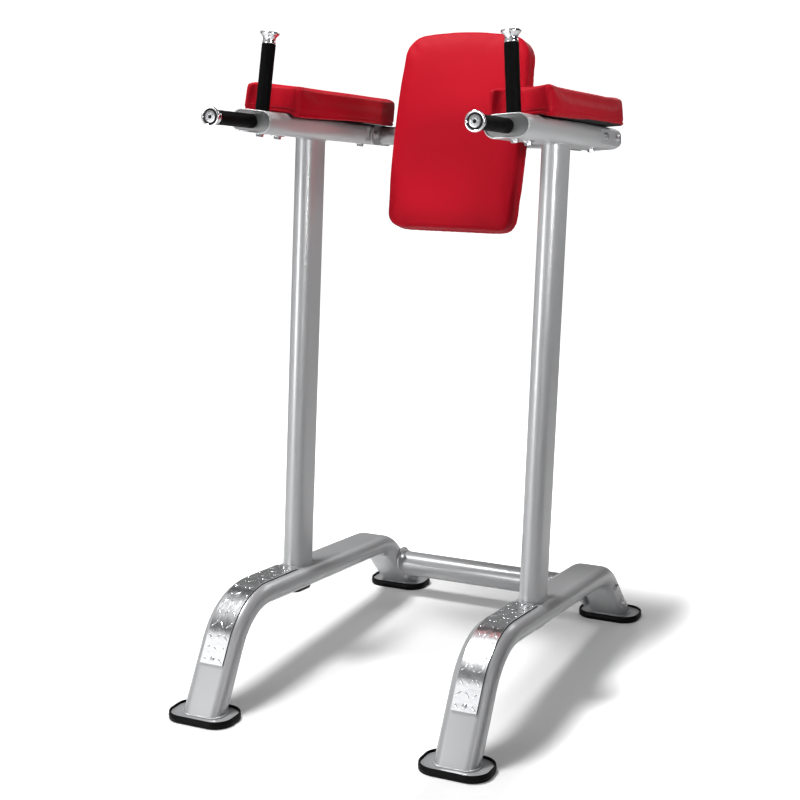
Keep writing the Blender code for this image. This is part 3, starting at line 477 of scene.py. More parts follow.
def show(name, mesh, matrix, slot, *nodes):
    """A finished piece, with its place in its mesh, that stands for the CAD nodes named."""
    name = name.replace(" ", "_")
    own = mesh.copy()
    own.name = name
    own.transform(matrix)
    if matrix.determinant() < 0:
        own.flip_normals()
    piece = bpy.data.objects.new(name, own)
    bpy.context.scene.collection.objects.link(piece)
    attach(piece, "root")
    if nodes:
        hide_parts(*nodes)
    return piece


# %% [markdown]
# ## Recipes for what follows a path
#
# Geometry Nodes suits anything that runs along a line: a bent tube, a weld, a row of stitches. Each
# recipe below takes a line of edges, turns it into a curve and builds on that. Its sizes are named
# inputs, and the result is turned into a plain mesh at once.

# %% Run a recipe
class Recipe(Graph):
    """A geometry node tree with named inputs."""

    def __init__(self, name):
        tree = bpy.data.node_groups.new(name, "GeometryNodeTree")
        super().__init__(tree)
        for way in ("INPUT", "OUTPUT"):
            tree.interface.new_socket("Geometry", in_out=way, socket_type="NodeSocketGeometry")
        self.given = tree.nodes.new("NodeGroupInput")
        self.result = tree.nodes.new("NodeGroupOutput")
        self.line = self.node("GeometryNodeMeshToCurve", {}, {0: Field(self, self.given.outputs[0])})

    def ask(self, name, kind="Float"):
        self.tree.interface.new_socket(name, in_out="INPUT", socket_type="NodeSocket" + kind)
        return Field(self, self.given.outputs[name])

    def moved(self, geometry, sockets):
        return self.node("GeometryNodeSetPosition", {}, {"Geometry": geometry, **sockets})

    def end(self, geometry):
        real = self.node("GeometryNodeRealizeInstances", {}, {0: geometry})
        finish = self.ask("Finish", "Material")
        painted = self.node("GeometryNodeSetMaterial", {}, {"Geometry": real, "Material": finish})
        self.feed(self.result.inputs[0], painted)

    def run(self, name, points, values, closed=False):
        """The mesh that the recipe makes of a line through points, with its inputs set to values."""
        count = len(points)
        edges = [(i, i + 1) for i in range(count - 1)] + ([(count - 1, 0)] if closed else [])
        wire = bpy.data.meshes.new(name)
        wire.from_pydata([tuple(point) for point in points], edges, [])
        carrier = bpy.data.objects.new(name, wire)
        bpy.context.scene.collection.objects.link(carrier)
        modifier = carrier.modifiers.new(self.tree.name, "NODES")
        modifier.node_group = self.tree
        for socket in self.tree.interface.items_tree:
            if socket.in_out == "INPUT" and socket.name in values:
                modifier[socket.identifier] = values[socket.name]
        depsgraph = bpy.context.evaluated_depsgraph_get()
        mesh = bpy.data.meshes.new_from_object(carrier.evaluated_get(depsgraph), depsgraph=depsgraph)
        bpy.data.objects.remove(carrier)
        mesh.shade_smooth()
        mesh.set_sharp_from_angle(angle=math.radians(SHARP_EDGE))
        return mesh


# %% [markdown]
# ### A bent tube
#
# Fillet Curve rounds the corners of the leg's path to the bender's radius, and a flat-oval section is
# swept along it. Two things still differ from a plain sweep. The ends are cut level where they meet the
# foot plates, so the rings near an end slide along the tube, more and more, until the last one lies
# level. And beside the cross tube the round sides are pressed flat: a soft minimum on the distance from
# the middle.

# %% Recipe for a bent tube
def slide(recipe, way, amount):
    """A vector field along way, as long as amount."""
    return recipe.node("ShaderNodeVectorMath", {"operation": "SCALE"}, {0: way, "Scale": amount})


def tube_recipe():
    recipe = Recipe("bent tube")
    width = recipe.ask("Width")
    height = recipe.ask("Height")
    curve = recipe.node("GeometryNodeFilletCurve", {"mode": "POLY"},
                        {"Curve": recipe.line, "Count": 40, "Radius": recipe.ask("Bend radius")})
    curve = recipe.node("GeometryNodeResampleCurve", {"mode": "LENGTH"},
                        {"Curve": curve, "Length": recipe.ask("Ring spacing")})
    curve = recipe.node("GeometryNodeSetCurveNormal", {"mode": "Z_UP"}, {"Curve": curve})
    share = recipe.node("GeometryNodeSplineParameter")
    length = recipe.node("GeometryNodeCurveLength", {}, {0: curve})
    curve = recipe.node("GeometryNodeStoreNamedAttribute", {},
                        {"Geometry": curve, "Name": "to_rear", "Value": (1 - share) * length})
    curve = recipe.node("GeometryNodeStoreNamedAttribute", {},
                        {"Geometry": curve, "Name": "to_end", "Value": (0.5 - abs(share - 0.5)) * length})
    heading = recipe.node("GeometryNodeInputTangent")
    curve = recipe.node("GeometryNodeStoreNamedAttribute", {"data_type": "FLOAT_VECTOR"},
                        {"Geometry": curve, "Name": "heading", "Value": heading})
    section = recipe.node("GeometryNodeCurvePrimitiveQuadrilateral", {}, {"Width": width, "Height": height})
    section = recipe.node("GeometryNodeFilletCurve", {"mode": "POLY"},
                          {"Curve": section, "Count": 14, "Radius": height * 0.4999, "Limit Radius": True})
    tube = recipe.node("GeometryNodeCurveToMesh", {},
                       {"Curve": curve, "Profile Curve": section, "Fill Caps": True})

    to_rear = recipe.node("GeometryNodeInputNamedAttribute", {}, {"Name": "to_rear"})
    to_end = recipe.node("GeometryNodeInputNamedAttribute", {}, {"Name": "to_end"})
    way = recipe.node("GeometryNodeInputNamedAttribute", {"data_type": "FLOAT_VECTOR"}, {"Name": "heading"})
    place = recipe.node("GeometryNodeInputPosition")
    climb = way.axis("Z")
    slip = (recipe.ask("Level") - place.axis("Z")) / climb + to_end * climb.sign()
    drop = slip * to_end.ramp(0.0, recipe.ask("Trim run"), 1.0, 0.0)
    tube = recipe.moved(tube, {"Offset": slide(recipe, way, drop)})
    x = place.axis("X")
    half = recipe.ask("Pressed half")
    away = abs(to_rear - recipe.ask("Press middle")) - recipe.ask("Press reach")
    free = width / 2 + PRESS_SOFT
    limit = half + (free - half) * away.ramp(0.0, PRESS_RUN)
    held = x.sign() * x.maths("SMOOTH_MIN", abs(x), limit, PRESS_SOFT)
    tube = recipe.moved(tube, {"Position": recipe.vector(held, place.axis("Y"), place.axis("Z"))})
    recipe.end(tube)
    return recipe


# %% [markdown]
# ### Welds and stitches
#
# A weld bead is a thin round sweep whose radius swells and falls once for each dab of the torch.
# Stitches are short capsules set along a line, turned to follow it.

# %% Recipes for beads and rows
def bead_recipe():
    recipe = Recipe("weld bead")
    pitch = recipe.ask("Pitch")
    curve = recipe.node("GeometryNodeResampleCurve", {"mode": "LENGTH"},
                        {"Curve": recipe.line, "Length": pitch / 5})
    along = recipe.node("GeometryNodeSplineParameter", {}, {}, "Length")
    swell = 0.82 + abs((along / pitch * math.pi).sine()) * 0.18
    profile = recipe.node("GeometryNodeCurvePrimitiveCircle", {},
                          {"Resolution": 10, "Radius": recipe.ask("Radius")})
    bead = recipe.node("GeometryNodeCurveToMesh", {},
                       {"Curve": curve, "Profile Curve": profile, "Scale": swell, "Fill Caps": True})
    recipe.end(bead)
    return recipe


def row_recipe():
    recipe = Recipe("row of stitches")
    spots = recipe.node("GeometryNodeCurveToPoints", {"mode": "LENGTH"},
                        {"Curve": recipe.line, "Length": recipe.ask("Pitch")}, "Points")
    turned = Field(recipe, spots.socket.node.outputs["Rotation"])
    stitch = recipe.node("GeometryNodeMeshUVSphere", {}, {"Segments": 8, "Rings": 5, "Radius": 1.0})
    thickness = recipe.ask("Thickness")
    size = recipe.vector(thickness, thickness, recipe.ask("Half length"))
    row = recipe.node("GeometryNodeInstanceOnPoints", {},
                      {"Points": spots, "Instance": stitch, "Rotation": turned, "Scale": size})
    recipe.end(row)
    return recipe


# %% [markdown]
# ### Tread plate
#
# The plate is laid out flat, with raised lozenges that turn left and right by turns, and is then bent
# as a whole: each point's distance along the plate is looked up on the leg's path with Sample Curve,
# and its height is measured along the path's normal there.

# %% Recipe for a tread plate
def tread_recipe():
    recipe = Recipe("tread plate")
    path = recipe.node("GeometryNodeFilletCurve", {"mode": "POLY"},
                       {"Curve": recipe.line, "Count": 40, "Radius": recipe.ask("Bend radius")})
    width = recipe.ask("Width")
    length = recipe.ask("Length")
    thickness = recipe.ask("Thickness")
    plate = recipe.node("GeometryNodeMeshCube", {}, {"Size": recipe.vector(width, length, thickness),
                                                     "Vertices X": 9, "Vertices Y": 120, "Vertices Z": 2})
    margin = recipe.ask("Margin")
    lattice = recipe.node("GeometryNodeMeshGrid", {},
                          {"Size X": width - margin * 2, "Size Y": length - margin * 2,
                           "Vertices X": recipe.ask("Columns", "Int"),
                           "Vertices Y": recipe.ask("Rows", "Int")})
    index = recipe.node("GeometryNodeInputIndex")
    turn = (index.maths("MODULO", index, 2.0) * 2 - 1) * recipe.ask("Mark angle")
    mark = recipe.node("GeometryNodeMeshUVSphere", {}, {"Segments": 14, "Rings": 8, "Radius": 1.0})
    size = recipe.vector(*(recipe.ask(f"Mark {way}") for way in ("half length", "half width", "height")))
    marks = recipe.node("GeometryNodeInstanceOnPoints", {},
                        {"Points": lattice, "Instance": mark,
                         "Rotation": recipe.vector(0.0, 0.0, turn), "Scale": size})
    marks = recipe.node("GeometryNodeRealizeInstances", {}, {0: marks})
    marks = recipe.moved(marks, {"Offset": recipe.vector(0.0, 0.0, thickness / 2)})
    flat = recipe.tree.nodes.new("GeometryNodeJoinGeometry")
    for part in (plate, marks):
        recipe.feed(flat.inputs[0], part)
    place = recipe.node("GeometryNodeInputPosition")
    where = recipe.ask("Start") + length / 2 + place.axis("Y")
    spot = recipe.node("GeometryNodeSampleCurve", {"mode": "LENGTH"},
                       {"Curves": path, "Length": where}, "Position")
    way = Field(recipe, spot.socket.node.outputs["Tangent"])
    up = recipe.vector(0.0, way.axis("Z") * -1, way.axis("Y"))
    raised = slide(recipe, up, recipe.ask("Lift") + place.axis("Z"))
    across = recipe.vector(place.axis("X"), 0.0, 0.0)
    bent = recipe.moved(Field(recipe, flat.outputs[0]),
                        {"Position": recipe.vectors("ADD", recipe.vectors("ADD", spot, raised), across)})
    recipe.end(bent)
    return recipe


# %% [markdown]
# Each recipe is built once. After that, making a leg, a weld or a seam is a matter of giving it a line
# of points and its sizes.

# %% Build the recipes
TUBE = tube_recipe()
BEAD = bead_recipe()
ROW = row_recipe()
TREAD = tread_recipe()
print("recipes:", ", ".join(recipe.tree.name for recipe in (TUBE, BEAD, ROW, TREAD)))

# %% [markdown]
# ## The stage
#
# The photo was taken with a long lens from the front right, a little above the handles. The camera here
# stands where a fit to the photo put it. The picture is shown through the Standard view transform,
# which leaves a colour as it was written.

# %% Camera
scene = bpy.context.scene
scene.view_settings.view_transform = "Standard"
lens = bpy.data.cameras.new("camera")
lens.lens = 70.18
lens.sensor_width = 36
camera = bpy.data.objects.new("camera", lens)
camera.location = (1.5847, -3.4956, 1.5324)
camera.rotation_euler = (math.radians(77.76), 0, math.radians(25.35))
scene.collection.objects.link(camera)
scene.camera = camera

# %% [markdown]
# Metal is only as good as what it mirrors. The world is a pale studio that darkens to the back and to
# the right. For mirrored rays it also has a dark gap high up, with a bright panel below it at the
# front, which put bands across the tread plates. Diffuse light sees a plainer and dimmer world, so the
# shadows stay deep. The camera itself sees plain white behind.

# %% World
world = bpy.data.worlds.new("studio")
world.use_nodes = True
scene.world = world
sky = Graph(world.node_tree)
sky_colour = sky.tree.nodes["Background"]
sky_way = sky.node("ShaderNodeTexCoord", {}, {}, "Generated")
east, north, height = (sky_way.axis(name) for name in "XYZ")
front_glow = north.ramp(-0.9, 0.9, 0.95, 0.35) * east.ramp(-0.3, 0.9, 1.0, 0.1)
plain = height.ramp(-0.25, 0.55) * 0.22 + 0.03
mirror = height.ramp(-0.45, 0.40) * 0.56 + 0.08
gap = height.ramp(0.60, 0.68) * height.ramp(0.76, 0.84, 1.0, 0.0)
panel = height.ramp(0.40, 0.48) * height.ramp(0.60, 0.66, 1.0, 0.0) * north.ramp(-0.5, -0.2, 1.0, 0.0)
seen, mirrored = sky.seen_and_mirrored()
unseen = (1 - mirrored) * plain + mirrored * (mirror * (1 - gap * 0.85) + panel * 0.55)
level = seen + (1 - seen) * front_glow * unseen
sky.feed(sky_colour.inputs["Color"], sky.vector(level, level, level * 1.01))
sky_colour.inputs["Strength"].default_value = 1.0
print("world nodes:", len(sky.tree.nodes))

# %% [markdown]
# Most of the light comes from above, a little from the left, which lays soft shadows right under the
# base beams. A broad key at the front left lights the faces that the camera sees, and weak lights on
# the right keep the sides of the right pad and arm from going dark.

# %% Lights
def soft_light(name, location, target, size, power, spread=180):
    light = bpy.data.lights.new(name, "AREA")
    light.shape = "RECTANGLE"
    light.size, light.size_y = size
    light.energy = power
    light.spread = math.radians(spread)
    lamp = bpy.data.objects.new(name, light)
    lamp.location = location
    lamp.rotation_euler = (Vector(target) - Vector(location)).to_track_quat("-Z", "Y").to_euler()
    scene.collection.objects.link(lamp)


soft_light("overhead", (-1.1, -0.5, 4.1), (0, 0, 0.2), (1.0, 1.0), 150)
soft_light("key", (-1.7, -3.7, 1.1), (0, 0, 0.9), (1.6, 1.2), 44)
soft_light("fill", (3.0, -1.5, 1.9), (0, 0, 1.0), (1.0, 1.6), 4)
soft_light("pad light", (2.7, -1.5, 1.9), (0.45, -0.1, 1.42), (0.6, 0.6), 2.4, 34)
soft_light("edge strip", (2.9, -3.1, 1.3), (0, 0, 0.9), (0.22, 2.4), 10)
soft_light("back light", (0.6, 3.4, 2.8), (0, 0, 1.0), (2.2, 1.2), 20)
print("lights:", len(bpy.data.lights))

# %% [markdown]
# The backdrop is one large sheet of white paper that sweeps up far behind. It glows for the camera
# alone. Away from the station this painted light makes it white and washes out the arms' and pads'
# shadows. In front of the cross tube it lightens the floor between and beside the beams' shadows, so
# that the beams' shadows stay. For mirrored rays it glows only at the front left, a painted reflection
# on the metal. Neither glow adds to the light that falls on the object.

# %% Backdrop
def white_paper():
    paper = Finish("white paper", (0.90, 0.90, 0.90), {"Roughness": 0.85, "Specular IOR Level": 0.1})
    x, y = paper.place.axis("X"), paper.place.axis("Y")
    # painted light: outside this zone round the station the floor glows white for the camera, over the
    # shadows there
    shadow_kept_zone = x.ramp(0.45, 0.60, 1.0, 0.0) * x.ramp(-1.1, -0.6)
    shadow_kept_zone = shadow_kept_zone * y.ramp(0.62, 1.0, 1.0, 0.0) * y.ramp(-1.2, -0.7)
    # painted light: the floor glows between and beside the beams' shadows, lightening the shadows of the
    # arms and pads
    painted_light_between_shadows = abs(abs(x - 0.06) - 0.34).ramp(0.09, 0.22) * y.ramp(0.15, 0.40, 1.0, 0.0)
    # painted reflection: a patch of floor at the front left glows for mirrored rays only
    painted_reflection_patch = y.ramp(-2.4, -0.6, 1.0, 0.0) * x.ramp(-0.2, 1.6, 1.0, 0.0)
    by_camera, by_metal = paper.seen_and_mirrored()
    glow = by_camera * (0.08 + painted_light_between_shadows * 0.45 + (1 - shadow_kept_zone) * 0.9) + by_metal * (0.05 + painted_reflection_patch * 0.60)
    paper.vary("Emission Color", paper.vector(glow, glow, glow))
    paper.shader.inputs["Emission Strength"].default_value = 1.0
    return paper.material


def backdrop():
    """A floor that sweeps up far behind the object."""
    reach, far, rise = 14.0, 9.0, 3.0
    curve = arc((far, rise), rise, -math.pi / 2, 0, 12)
    line = [(-reach, 0.0)] + curve + [(far + rise, 9.0)]
    bm = bmesh.new()
    rows = [[bm.verts.new((x, y, z)) for x in (-reach, reach)] for y, z in line]
    for one, two in zip(rows, rows[1:]):
        bm.faces.new((one[0], one[1], two[1], two[0]))
    mesh = bpy.data.meshes.new("backdrop")
    bm.to_mesh(mesh)
    bm.free()
    mesh.shade_smooth()
    sweep = bpy.data.objects.new("backdrop", mesh)
    scene.collection.objects.link(sweep)
    mesh.materials.append(white_paper())
    return sweep


backdrop()
print("stage set, camera at", tuple(camera.location))

# %% [markdown]
# ## Legs and base beams
#
# Each side frame starts as one flat-oval tube, bent twice: up from the front foot, along under the
# upright and down to the rear foot. A shop would bend it on a tube bender, trim the ends level and weld
# foot plates on. The recipe for a bent tube repeats the first two steps, and its corners come from where
# the three straight runs cross.

# %% Path of a leg
def cross(one, one_way, two, two_way):
    """Where two lines in the YZ plane cross."""
    bottom = one_way.y * two_way.z - one_way.z * two_way.y
    gap = two - one
    reach = (gap.y * two_way.z - gap.z * two_way.y) / bottom
    return one + one_way * reach


BEAM_POINT = Vector((0, BEAM_Z * math.sin(FRAME_TILT), BEAM_Z * math.cos(FRAME_TILT)))
BEAM_WAY = Vector((0, math.cos(FRAME_TILT), -math.sin(FRAME_TILT)))
FRONT_WAY = Vector((0, math.cos(FRONT_LEG_ANGLE), math.sin(FRONT_LEG_ANGLE)))
REAR_WAY = Vector((0, math.cos(REAR_LEG_ANGLE), -math.sin(REAR_LEG_ANGLE)))
LEG_PATH = [FRONT_BASE, cross(FRONT_BASE, FRONT_WAY, BEAM_POINT, BEAM_WAY),
            cross(BEAM_POINT, BEAM_WAY, REAR_BASE, REAR_WAY), REAR_BASE]
CROSS_UP_LEG = 0.112
LOWER_CROSS = REAR_BASE - REAR_WAY * CROSS_UP_LEG
print("leg path:", [tuple(round(value, 4) for value in point.yz) for point in LEG_PATH])

# %% [markdown]
# The recipe sweeps one tube on the centre line. Both legs are that tube, moved to either side, because
# the tube is the same left and right. The tube is pressed flat where the lower cross tube will be
# bolted on.

# %% Sweep and place the legs
LEG_SIZES = {"Width": BEAM_WIDTH, "Height": BEAM_HEIGHT, "Bend radius": BEND_RADIUS, "Ring spacing": 0.004,
             "Level": LEG_BASE_Z, "Trim run": 0.09, "Pressed half": PRESSED_HALF,
             "Press middle": CROSS_UP_LEG, "Press reach": 0.060, "Finish": FINISHES["silver_paint"]}
leg_mesh = TUBE.run("leg", LEG_PATH, LEG_SIZES)
LEG_PLACES = {side: Matrix.Translation((sign * SIDE_X, 0, 0)) for side, sign in SIDES}
for side, place in LEG_PLACES.items():
    show(f"leg {side}", leg_mesh, place, "silver_paint", f"{side}_leg")
low = min(vertex.co.z for vertex in leg_mesh.vertices)
print("leg faces:", len(leg_mesh.polygons), "lowest point:", round(low, 4))

# %% [markdown]
# ## Welds
#
# A bead of weld runs round each leg where it meets its foot plate. The leg is cut level there, so the
# bead follows the tube's section, stretched along the floor by the leg's slope. It could be painted on
# with a bump, but a real bead stands proud and catches light, so it is swept.

# %% Weld beads round the leg bases
def weld(name, points, radius=0.0030):
    """A closed bead through points, under the frame's paint."""
    sizes = {"Pitch": 0.0042, "Radius": radius, "Finish": FINISHES["silver_paint"]}
    return BEAD.run(name, points, sizes, True)


LEG_ENDS = (("front", FRONT_BASE, FRONT_LEG_ANGLE), ("rear", REAR_BASE, REAR_LEG_ANGLE))
WELD_STAND = 0.0008
for end, base, angle in LEG_ENDS:
    outline = flat_oval(BEAM_WIDTH + 2 * WELD_STAND, BEAM_HEIGHT + 2 * WELD_STAND)
    points = [(a, base.y + b / math.sin(angle), LEG_BASE_Z + WELD_STAND) for a, b in outline]
    mesh = weld(f"{end} leg weld", points)
    for side, place in LEG_PLACES.items():
        show(f"{end} leg weld {side}", mesh, place, "silver_paint")
print("leg weld faces:", len(mesh.polygons))

# %% [markdown]
# ## Tread plates
#
# A tread plate is a strip of rolled aluminium with raised lozenges, bent to the leg's bend and held by
# two button-head screws. It runs from partway up the front leg nearly to the upright. Its length is that
# of the path between, less what the bend cuts off the corner. The plate lies on a thin black strip, a
# painted shadow that shows as a black line along its edge, where the gap under the plate is in shade:
# the same recipe makes it, without lozenges.

# %% Tread plates
TREAD_START = 0.110
TREAD_WIDTH = 0.062
FRONT_TURN = FRONT_LEG_ANGLE + FRAME_TILT
FRONT_RUN = (LEG_PATH[1] - LEG_PATH[0]).length
TREAD_END = TILT @ Vector((0, UPRIGHT_Y - UPRIGHT_DEPTH / 2 - 0.006, BEAM_Z))
bend_trim = BEND_RADIUS * (2 * math.tan(FRONT_TURN / 2) - FRONT_TURN)
tread_length = FRONT_RUN + (TREAD_END - LEG_PATH[1]).dot(BEAM_WAY) - bend_trim - TREAD_START
# the plate is lifted by a black strip this thick, a painted shadow for the gap under its edge
SHADE_STRIP_THICKNESS = 0.0020
TREAD_SIZES = {"Bend radius": BEND_RADIUS, "Width": TREAD_WIDTH, "Length": tread_length,
               "Thickness": 0.0022, "Margin": 0.0105, "Columns": 3, "Rows": 15,
               "Mark angle": math.radians(45),
               "Mark half length": 0.0092, "Mark half width": 0.0020, "Mark height": 0.0014,
               "Start": TREAD_START, "Lift": BEAM_HEIGHT / 2 + SHADE_STRIP_THICKNESS + 0.0009,
               "Finish": FINISHES["bright_tread"]}
# painted shadow: a black strip a little wider than the plate lies under it and shows as a dark line at its
# edge
SHADE_STRIP_SIZES = {**TREAD_SIZES, "Width": TREAD_WIDTH + 0.0008, "Length": tread_length - 0.0004,
             "Thickness": SHADE_STRIP_THICKNESS, "Columns": 0, "Rows": 0, "Start": TREAD_START + 0.0002,
             "Lift": BEAM_HEIGHT / 2 + SHADE_STRIP_THICKNESS / 2, "Finish": FINISHES["black_rubber"]}
tread_mesh = TREAD.run("tread plate", LEG_PATH, TREAD_SIZES)
shade_strip_mesh = TREAD.run("tread plate bed", LEG_PATH, SHADE_STRIP_SIZES)
for side, place in LEG_PLACES.items():
    show(f"tread plate {side}", tread_mesh, place, "bright_tread", f"{side}_tread_plate")
    show(f"tread plate bed {side}", shade_strip_mesh, place, "black_rubber")
print("tread plate length:", round(tread_length, 4), "faces:", len(tread_mesh.polygons))

# %% [markdown]
# ## Screws, bolts, nuts and washers
#
# Fasteners are turned or forged shapes: rings of a profile again, some of them hexagons. A hexagon head
# gets its true chamfer by meeting a cone, which leaves the six arcs that real heads show.

# %% Shapes of fasteners
def turned(profile, steps=48):
    """Rings about Z through (radius, height) points."""
    return [[(a, b, height) for a, b in circle(radius, steps)] for radius, height in profile]


def hex_rings(flats, low, high):
    """A hexagon head between two heights, chamfered at the top by a cone."""
    full = hexagon(flats)
    shoulder = []
    for a, b in full:
        past_cone = max(0.0, math.hypot(a, b) - flats / 2 * 0.96)
        shoulder.append((a, b, high - past_cone * 0.62))
    top = [(a, b, high) for a, b in circle(flats / 2 * 0.93, len(full))]
    base = [(a, b, low) for a, b in full]
    return [base, shoulder, top]


def merge(bm, other):
    """Adds another bmesh's faces."""
    carried = bpy.data.meshes.new("carried")
    other.to_mesh(carried)
    other.free()
    bm.from_mesh(carried)
    bpy.data.meshes.remove(carried)


# %% [markdown]
# All bolts here are of one size, with a washer under the head. A nut sits on a washer too, and beyond
# it the bolt's thread shows. The thread is a stack of rings by turns wide and narrow: at this size
# nobody sees that it doesn't climb. Screws are domed buttons with a hexagon socket.

# %% Bolts, nuts and screws
BOLT_FLATS = 0.0155
BOLT_HEAD = 0.0062
BOLT_RADIUS = 0.0048
THREAD_PITCH = 0.0015
THREAD_DEPTH = 0.0007
WASHER = 0.0017
WASHER_RADIUS = 0.0106
NUT_HEIGHT = 0.0075
NUT_BORE = 0.0049
SOCKET = 0.0032


def bolt_mesh(name, length):
    """A hexagon bolt with its seat at zero, its head up +Z and a washer under the head."""
    washer = turned(((0.0104, 0.0001), (WASHER_RADIUS, 0.0004), (WASHER_RADIUS, 0.0014), (0.0103, WASHER)))
    top = WASHER + BOLT_HEAD
    dish = turned(((BOLT_FLATS * 0.34, top - 0.0005), (BOLT_FLATS * 0.30, top - 0.0005)))
    bm = skin(washer + hex_rings(BOLT_FLATS, WASHER, top) + dish)
    shank = ((BOLT_RADIUS - 0.0006, -length), (BOLT_RADIUS, -length + 0.0008), (BOLT_RADIUS, 0.001))
    merge(bm, skin(turned(shank)))
    return as_mesh(name, bm, "bolt_steel", 30)


def thread_skin(low, high):
    """A bolt's thread between two heights, as rings that rise and fall with each half pitch."""
    count = max(2, int((high - low) / THREAD_PITCH * 2))
    rings = [(BOLT_RADIUS * 0.8, low - 0.0006)]
    for i in range(count + 1):
        rings.append((BOLT_RADIUS - (THREAD_DEPTH if i % 2 else 0.0), low + (high - low) * i / count))
    return skin(turned(rings, 24))


def nut_mesh(name, seat, end):
    """A washer below height seat, a nut below the washer, and the bolt's thread from there down to end."""
    under = seat - WASHER
    mouth = seat - 0.0084
    bm = skin(turned(((NUT_BORE, seat), (0.0104, seat), (WASHER_RADIUS, seat - 0.0003),
                      (WASHER_RADIUS, seat - 0.0014), (0.0103, under), (NUT_BORE, under))))
    nut = [[(a, b, under - z) for a, b, z in ring] for ring in hex_rings(BOLT_FLATS, 0.0, NUT_HEIGHT)]
    nut += turned(((0.0058, seat - 0.0092), (NUT_BORE, mouth)))
    merge(bm, skin(nut))
    merge(bm, thread_skin(end, mouth))
    return as_mesh(name, bm, "bolt_steel", 30)


def button_mesh(name, radius, height):
    """A domed screw head with a hexagon socket."""
    turns = [math.pi / 2 * i / 7 for i in range(6)]
    dome = [(radius * math.cos(turn), height * math.sin(turn)) for turn in turns]
    top = height * 0.985
    rings = turned([(radius * 0.98, -0.0008)] + dome + [(SOCKET * 0.72, top)])
    rings += [[(a, b, top - deep) for a, b in hexagon(SOCKET)] for deep in (0.0002, 0.0016)]
    return as_mesh(name, skin(rings), "bolt_steel", 30)


# %% [markdown]
# Each tread plate gets a screw near either end. The lower one stands square to the front leg and the
# upper one square to the beam.

# %% Screws of the tread plates
LOWER_SCREW_IN = 0.013
UPPER_SCREW_IN = 0.016
TREAD_TOP = BEAM_HEIGHT / 2 + SHADE_STRIP_THICKNESS + 0.0020
tread_screw = button_mesh("tread screw", 0.0062, 0.0028)
along_leg = FRONT_BASE + FRONT_WAY * (TREAD_START + LOWER_SCREW_IN)
along_beam = TREAD_END - BEAM_WAY * UPPER_SCREW_IN
for end, spot, way in (("lower", along_leg, FRONT_WAY), ("upper", along_beam, BEAM_WAY)):
    normal = Vector((0, -way.z, way.y))
    turn = normal.to_track_quat("Z", "Y").to_matrix().to_4x4()
    seat = Matrix.Translation(spot + normal * TREAD_TOP) @ turn
    for side, place in LEG_PLACES.items():
        show(f"{end} tread screw {side}", tread_screw, place @ seat, "bolt_steel")
print("tread screw faces:", len(tread_screw.polygons))

# %% [markdown]
# ## Feet
#
# Each foot is a rubber tray moulded in one piece. The steel plate welded under the leg drops into it,
# and the rim keeps the plate off the floor. A shallow parting line runs round the outside of the
# moulding.

# %% Feet and foot plates
FOOT_WIDTH = 0.172
FOOT_DEPTH = 0.115
FOOT_CORNER = 0.046
FOOT_Y = 0.5475
FOOT_PLATE_LOW = 0.0073
FOOT_PLATE_HIGH = 0.0133
FOOT_PLATE_INSET = 0.0055


def foot_outline(inset):
    return rounded_rectangle(FOOT_WIDTH - 2 * inset, FOOT_DEPTH - 2 * inset, FOOT_CORNER - inset)


foot_levels = [(0.0030, 0.0), (0.0012, 0.0006), (0.0003, 0.0022), (0.0002, 0.0088), (-0.0001, 0.0092),
               (-0.0001, 0.0098), (0.0003, 0.0102), (0.0006, 0.0160), (0.0011, 0.0177), (0.0022, 0.0187),
               (0.0031, 0.0188), (0.0042, 0.0183), (0.0049, 0.0172), (0.0051, 0.0072)]
foot_mesh = as_mesh("foot", skin(stack(foot_levels, foot_outline)), "foot_rubber", 50)
plate_levels = rounded(FOOT_PLATE_LOW, FOOT_PLATE_HIGH, FOOT_PLATE_INSET, 0.0013)
plate_mesh = as_mesh("foot plate", skin(stack(plate_levels, foot_outline)), "silver_paint", 50)
for side, sign in SIDES:
    for end, y in (("front", -FOOT_Y), ("rear", FOOT_Y)):
        place = Matrix.Translation((sign * SIDE_X, y, 0))
        show(f"{end} foot {side}", foot_mesh, place, "black_rubber", f"{side}_{end}_foot")
        show(f"{end} foot plate {side}", plate_mesh, place, "silver_paint", f"{side}_{end}_foot_plate")
print("foot faces:", len(foot_mesh.polygons), "foot plate faces:", len(plate_mesh.polygons))

# %% [markdown]
# ## Uprights
#
# An upright is cut from the narrower flat-oval tube: square at the bottom, and mitred at the top to the
# roll of the arm. It is welded at both ends. Its outline is the same all the way up, so two rings are
# enough: a level one, and one whose heights follow the arm's underside. The left upright is the right
# one mirrored.

# %% Uprights
UPRIGHT_BEAD = 0.0024


def upright_top(x):
    """Height of the arm's underside above a point x of the right side, in the tilted frame."""
    return ARM_Z + (x - ARM_X) * math.tan(ARM_ROLL) - UNDER_ARM / math.cos(ARM_ROLL)


def upright_section(depth, width):
    """A flat oval round the right upright's middle, its length from front to rear."""
    return [(SIDE_X + b, UPRIGHT_Y + a) for a, b in flat_oval(depth, width)]


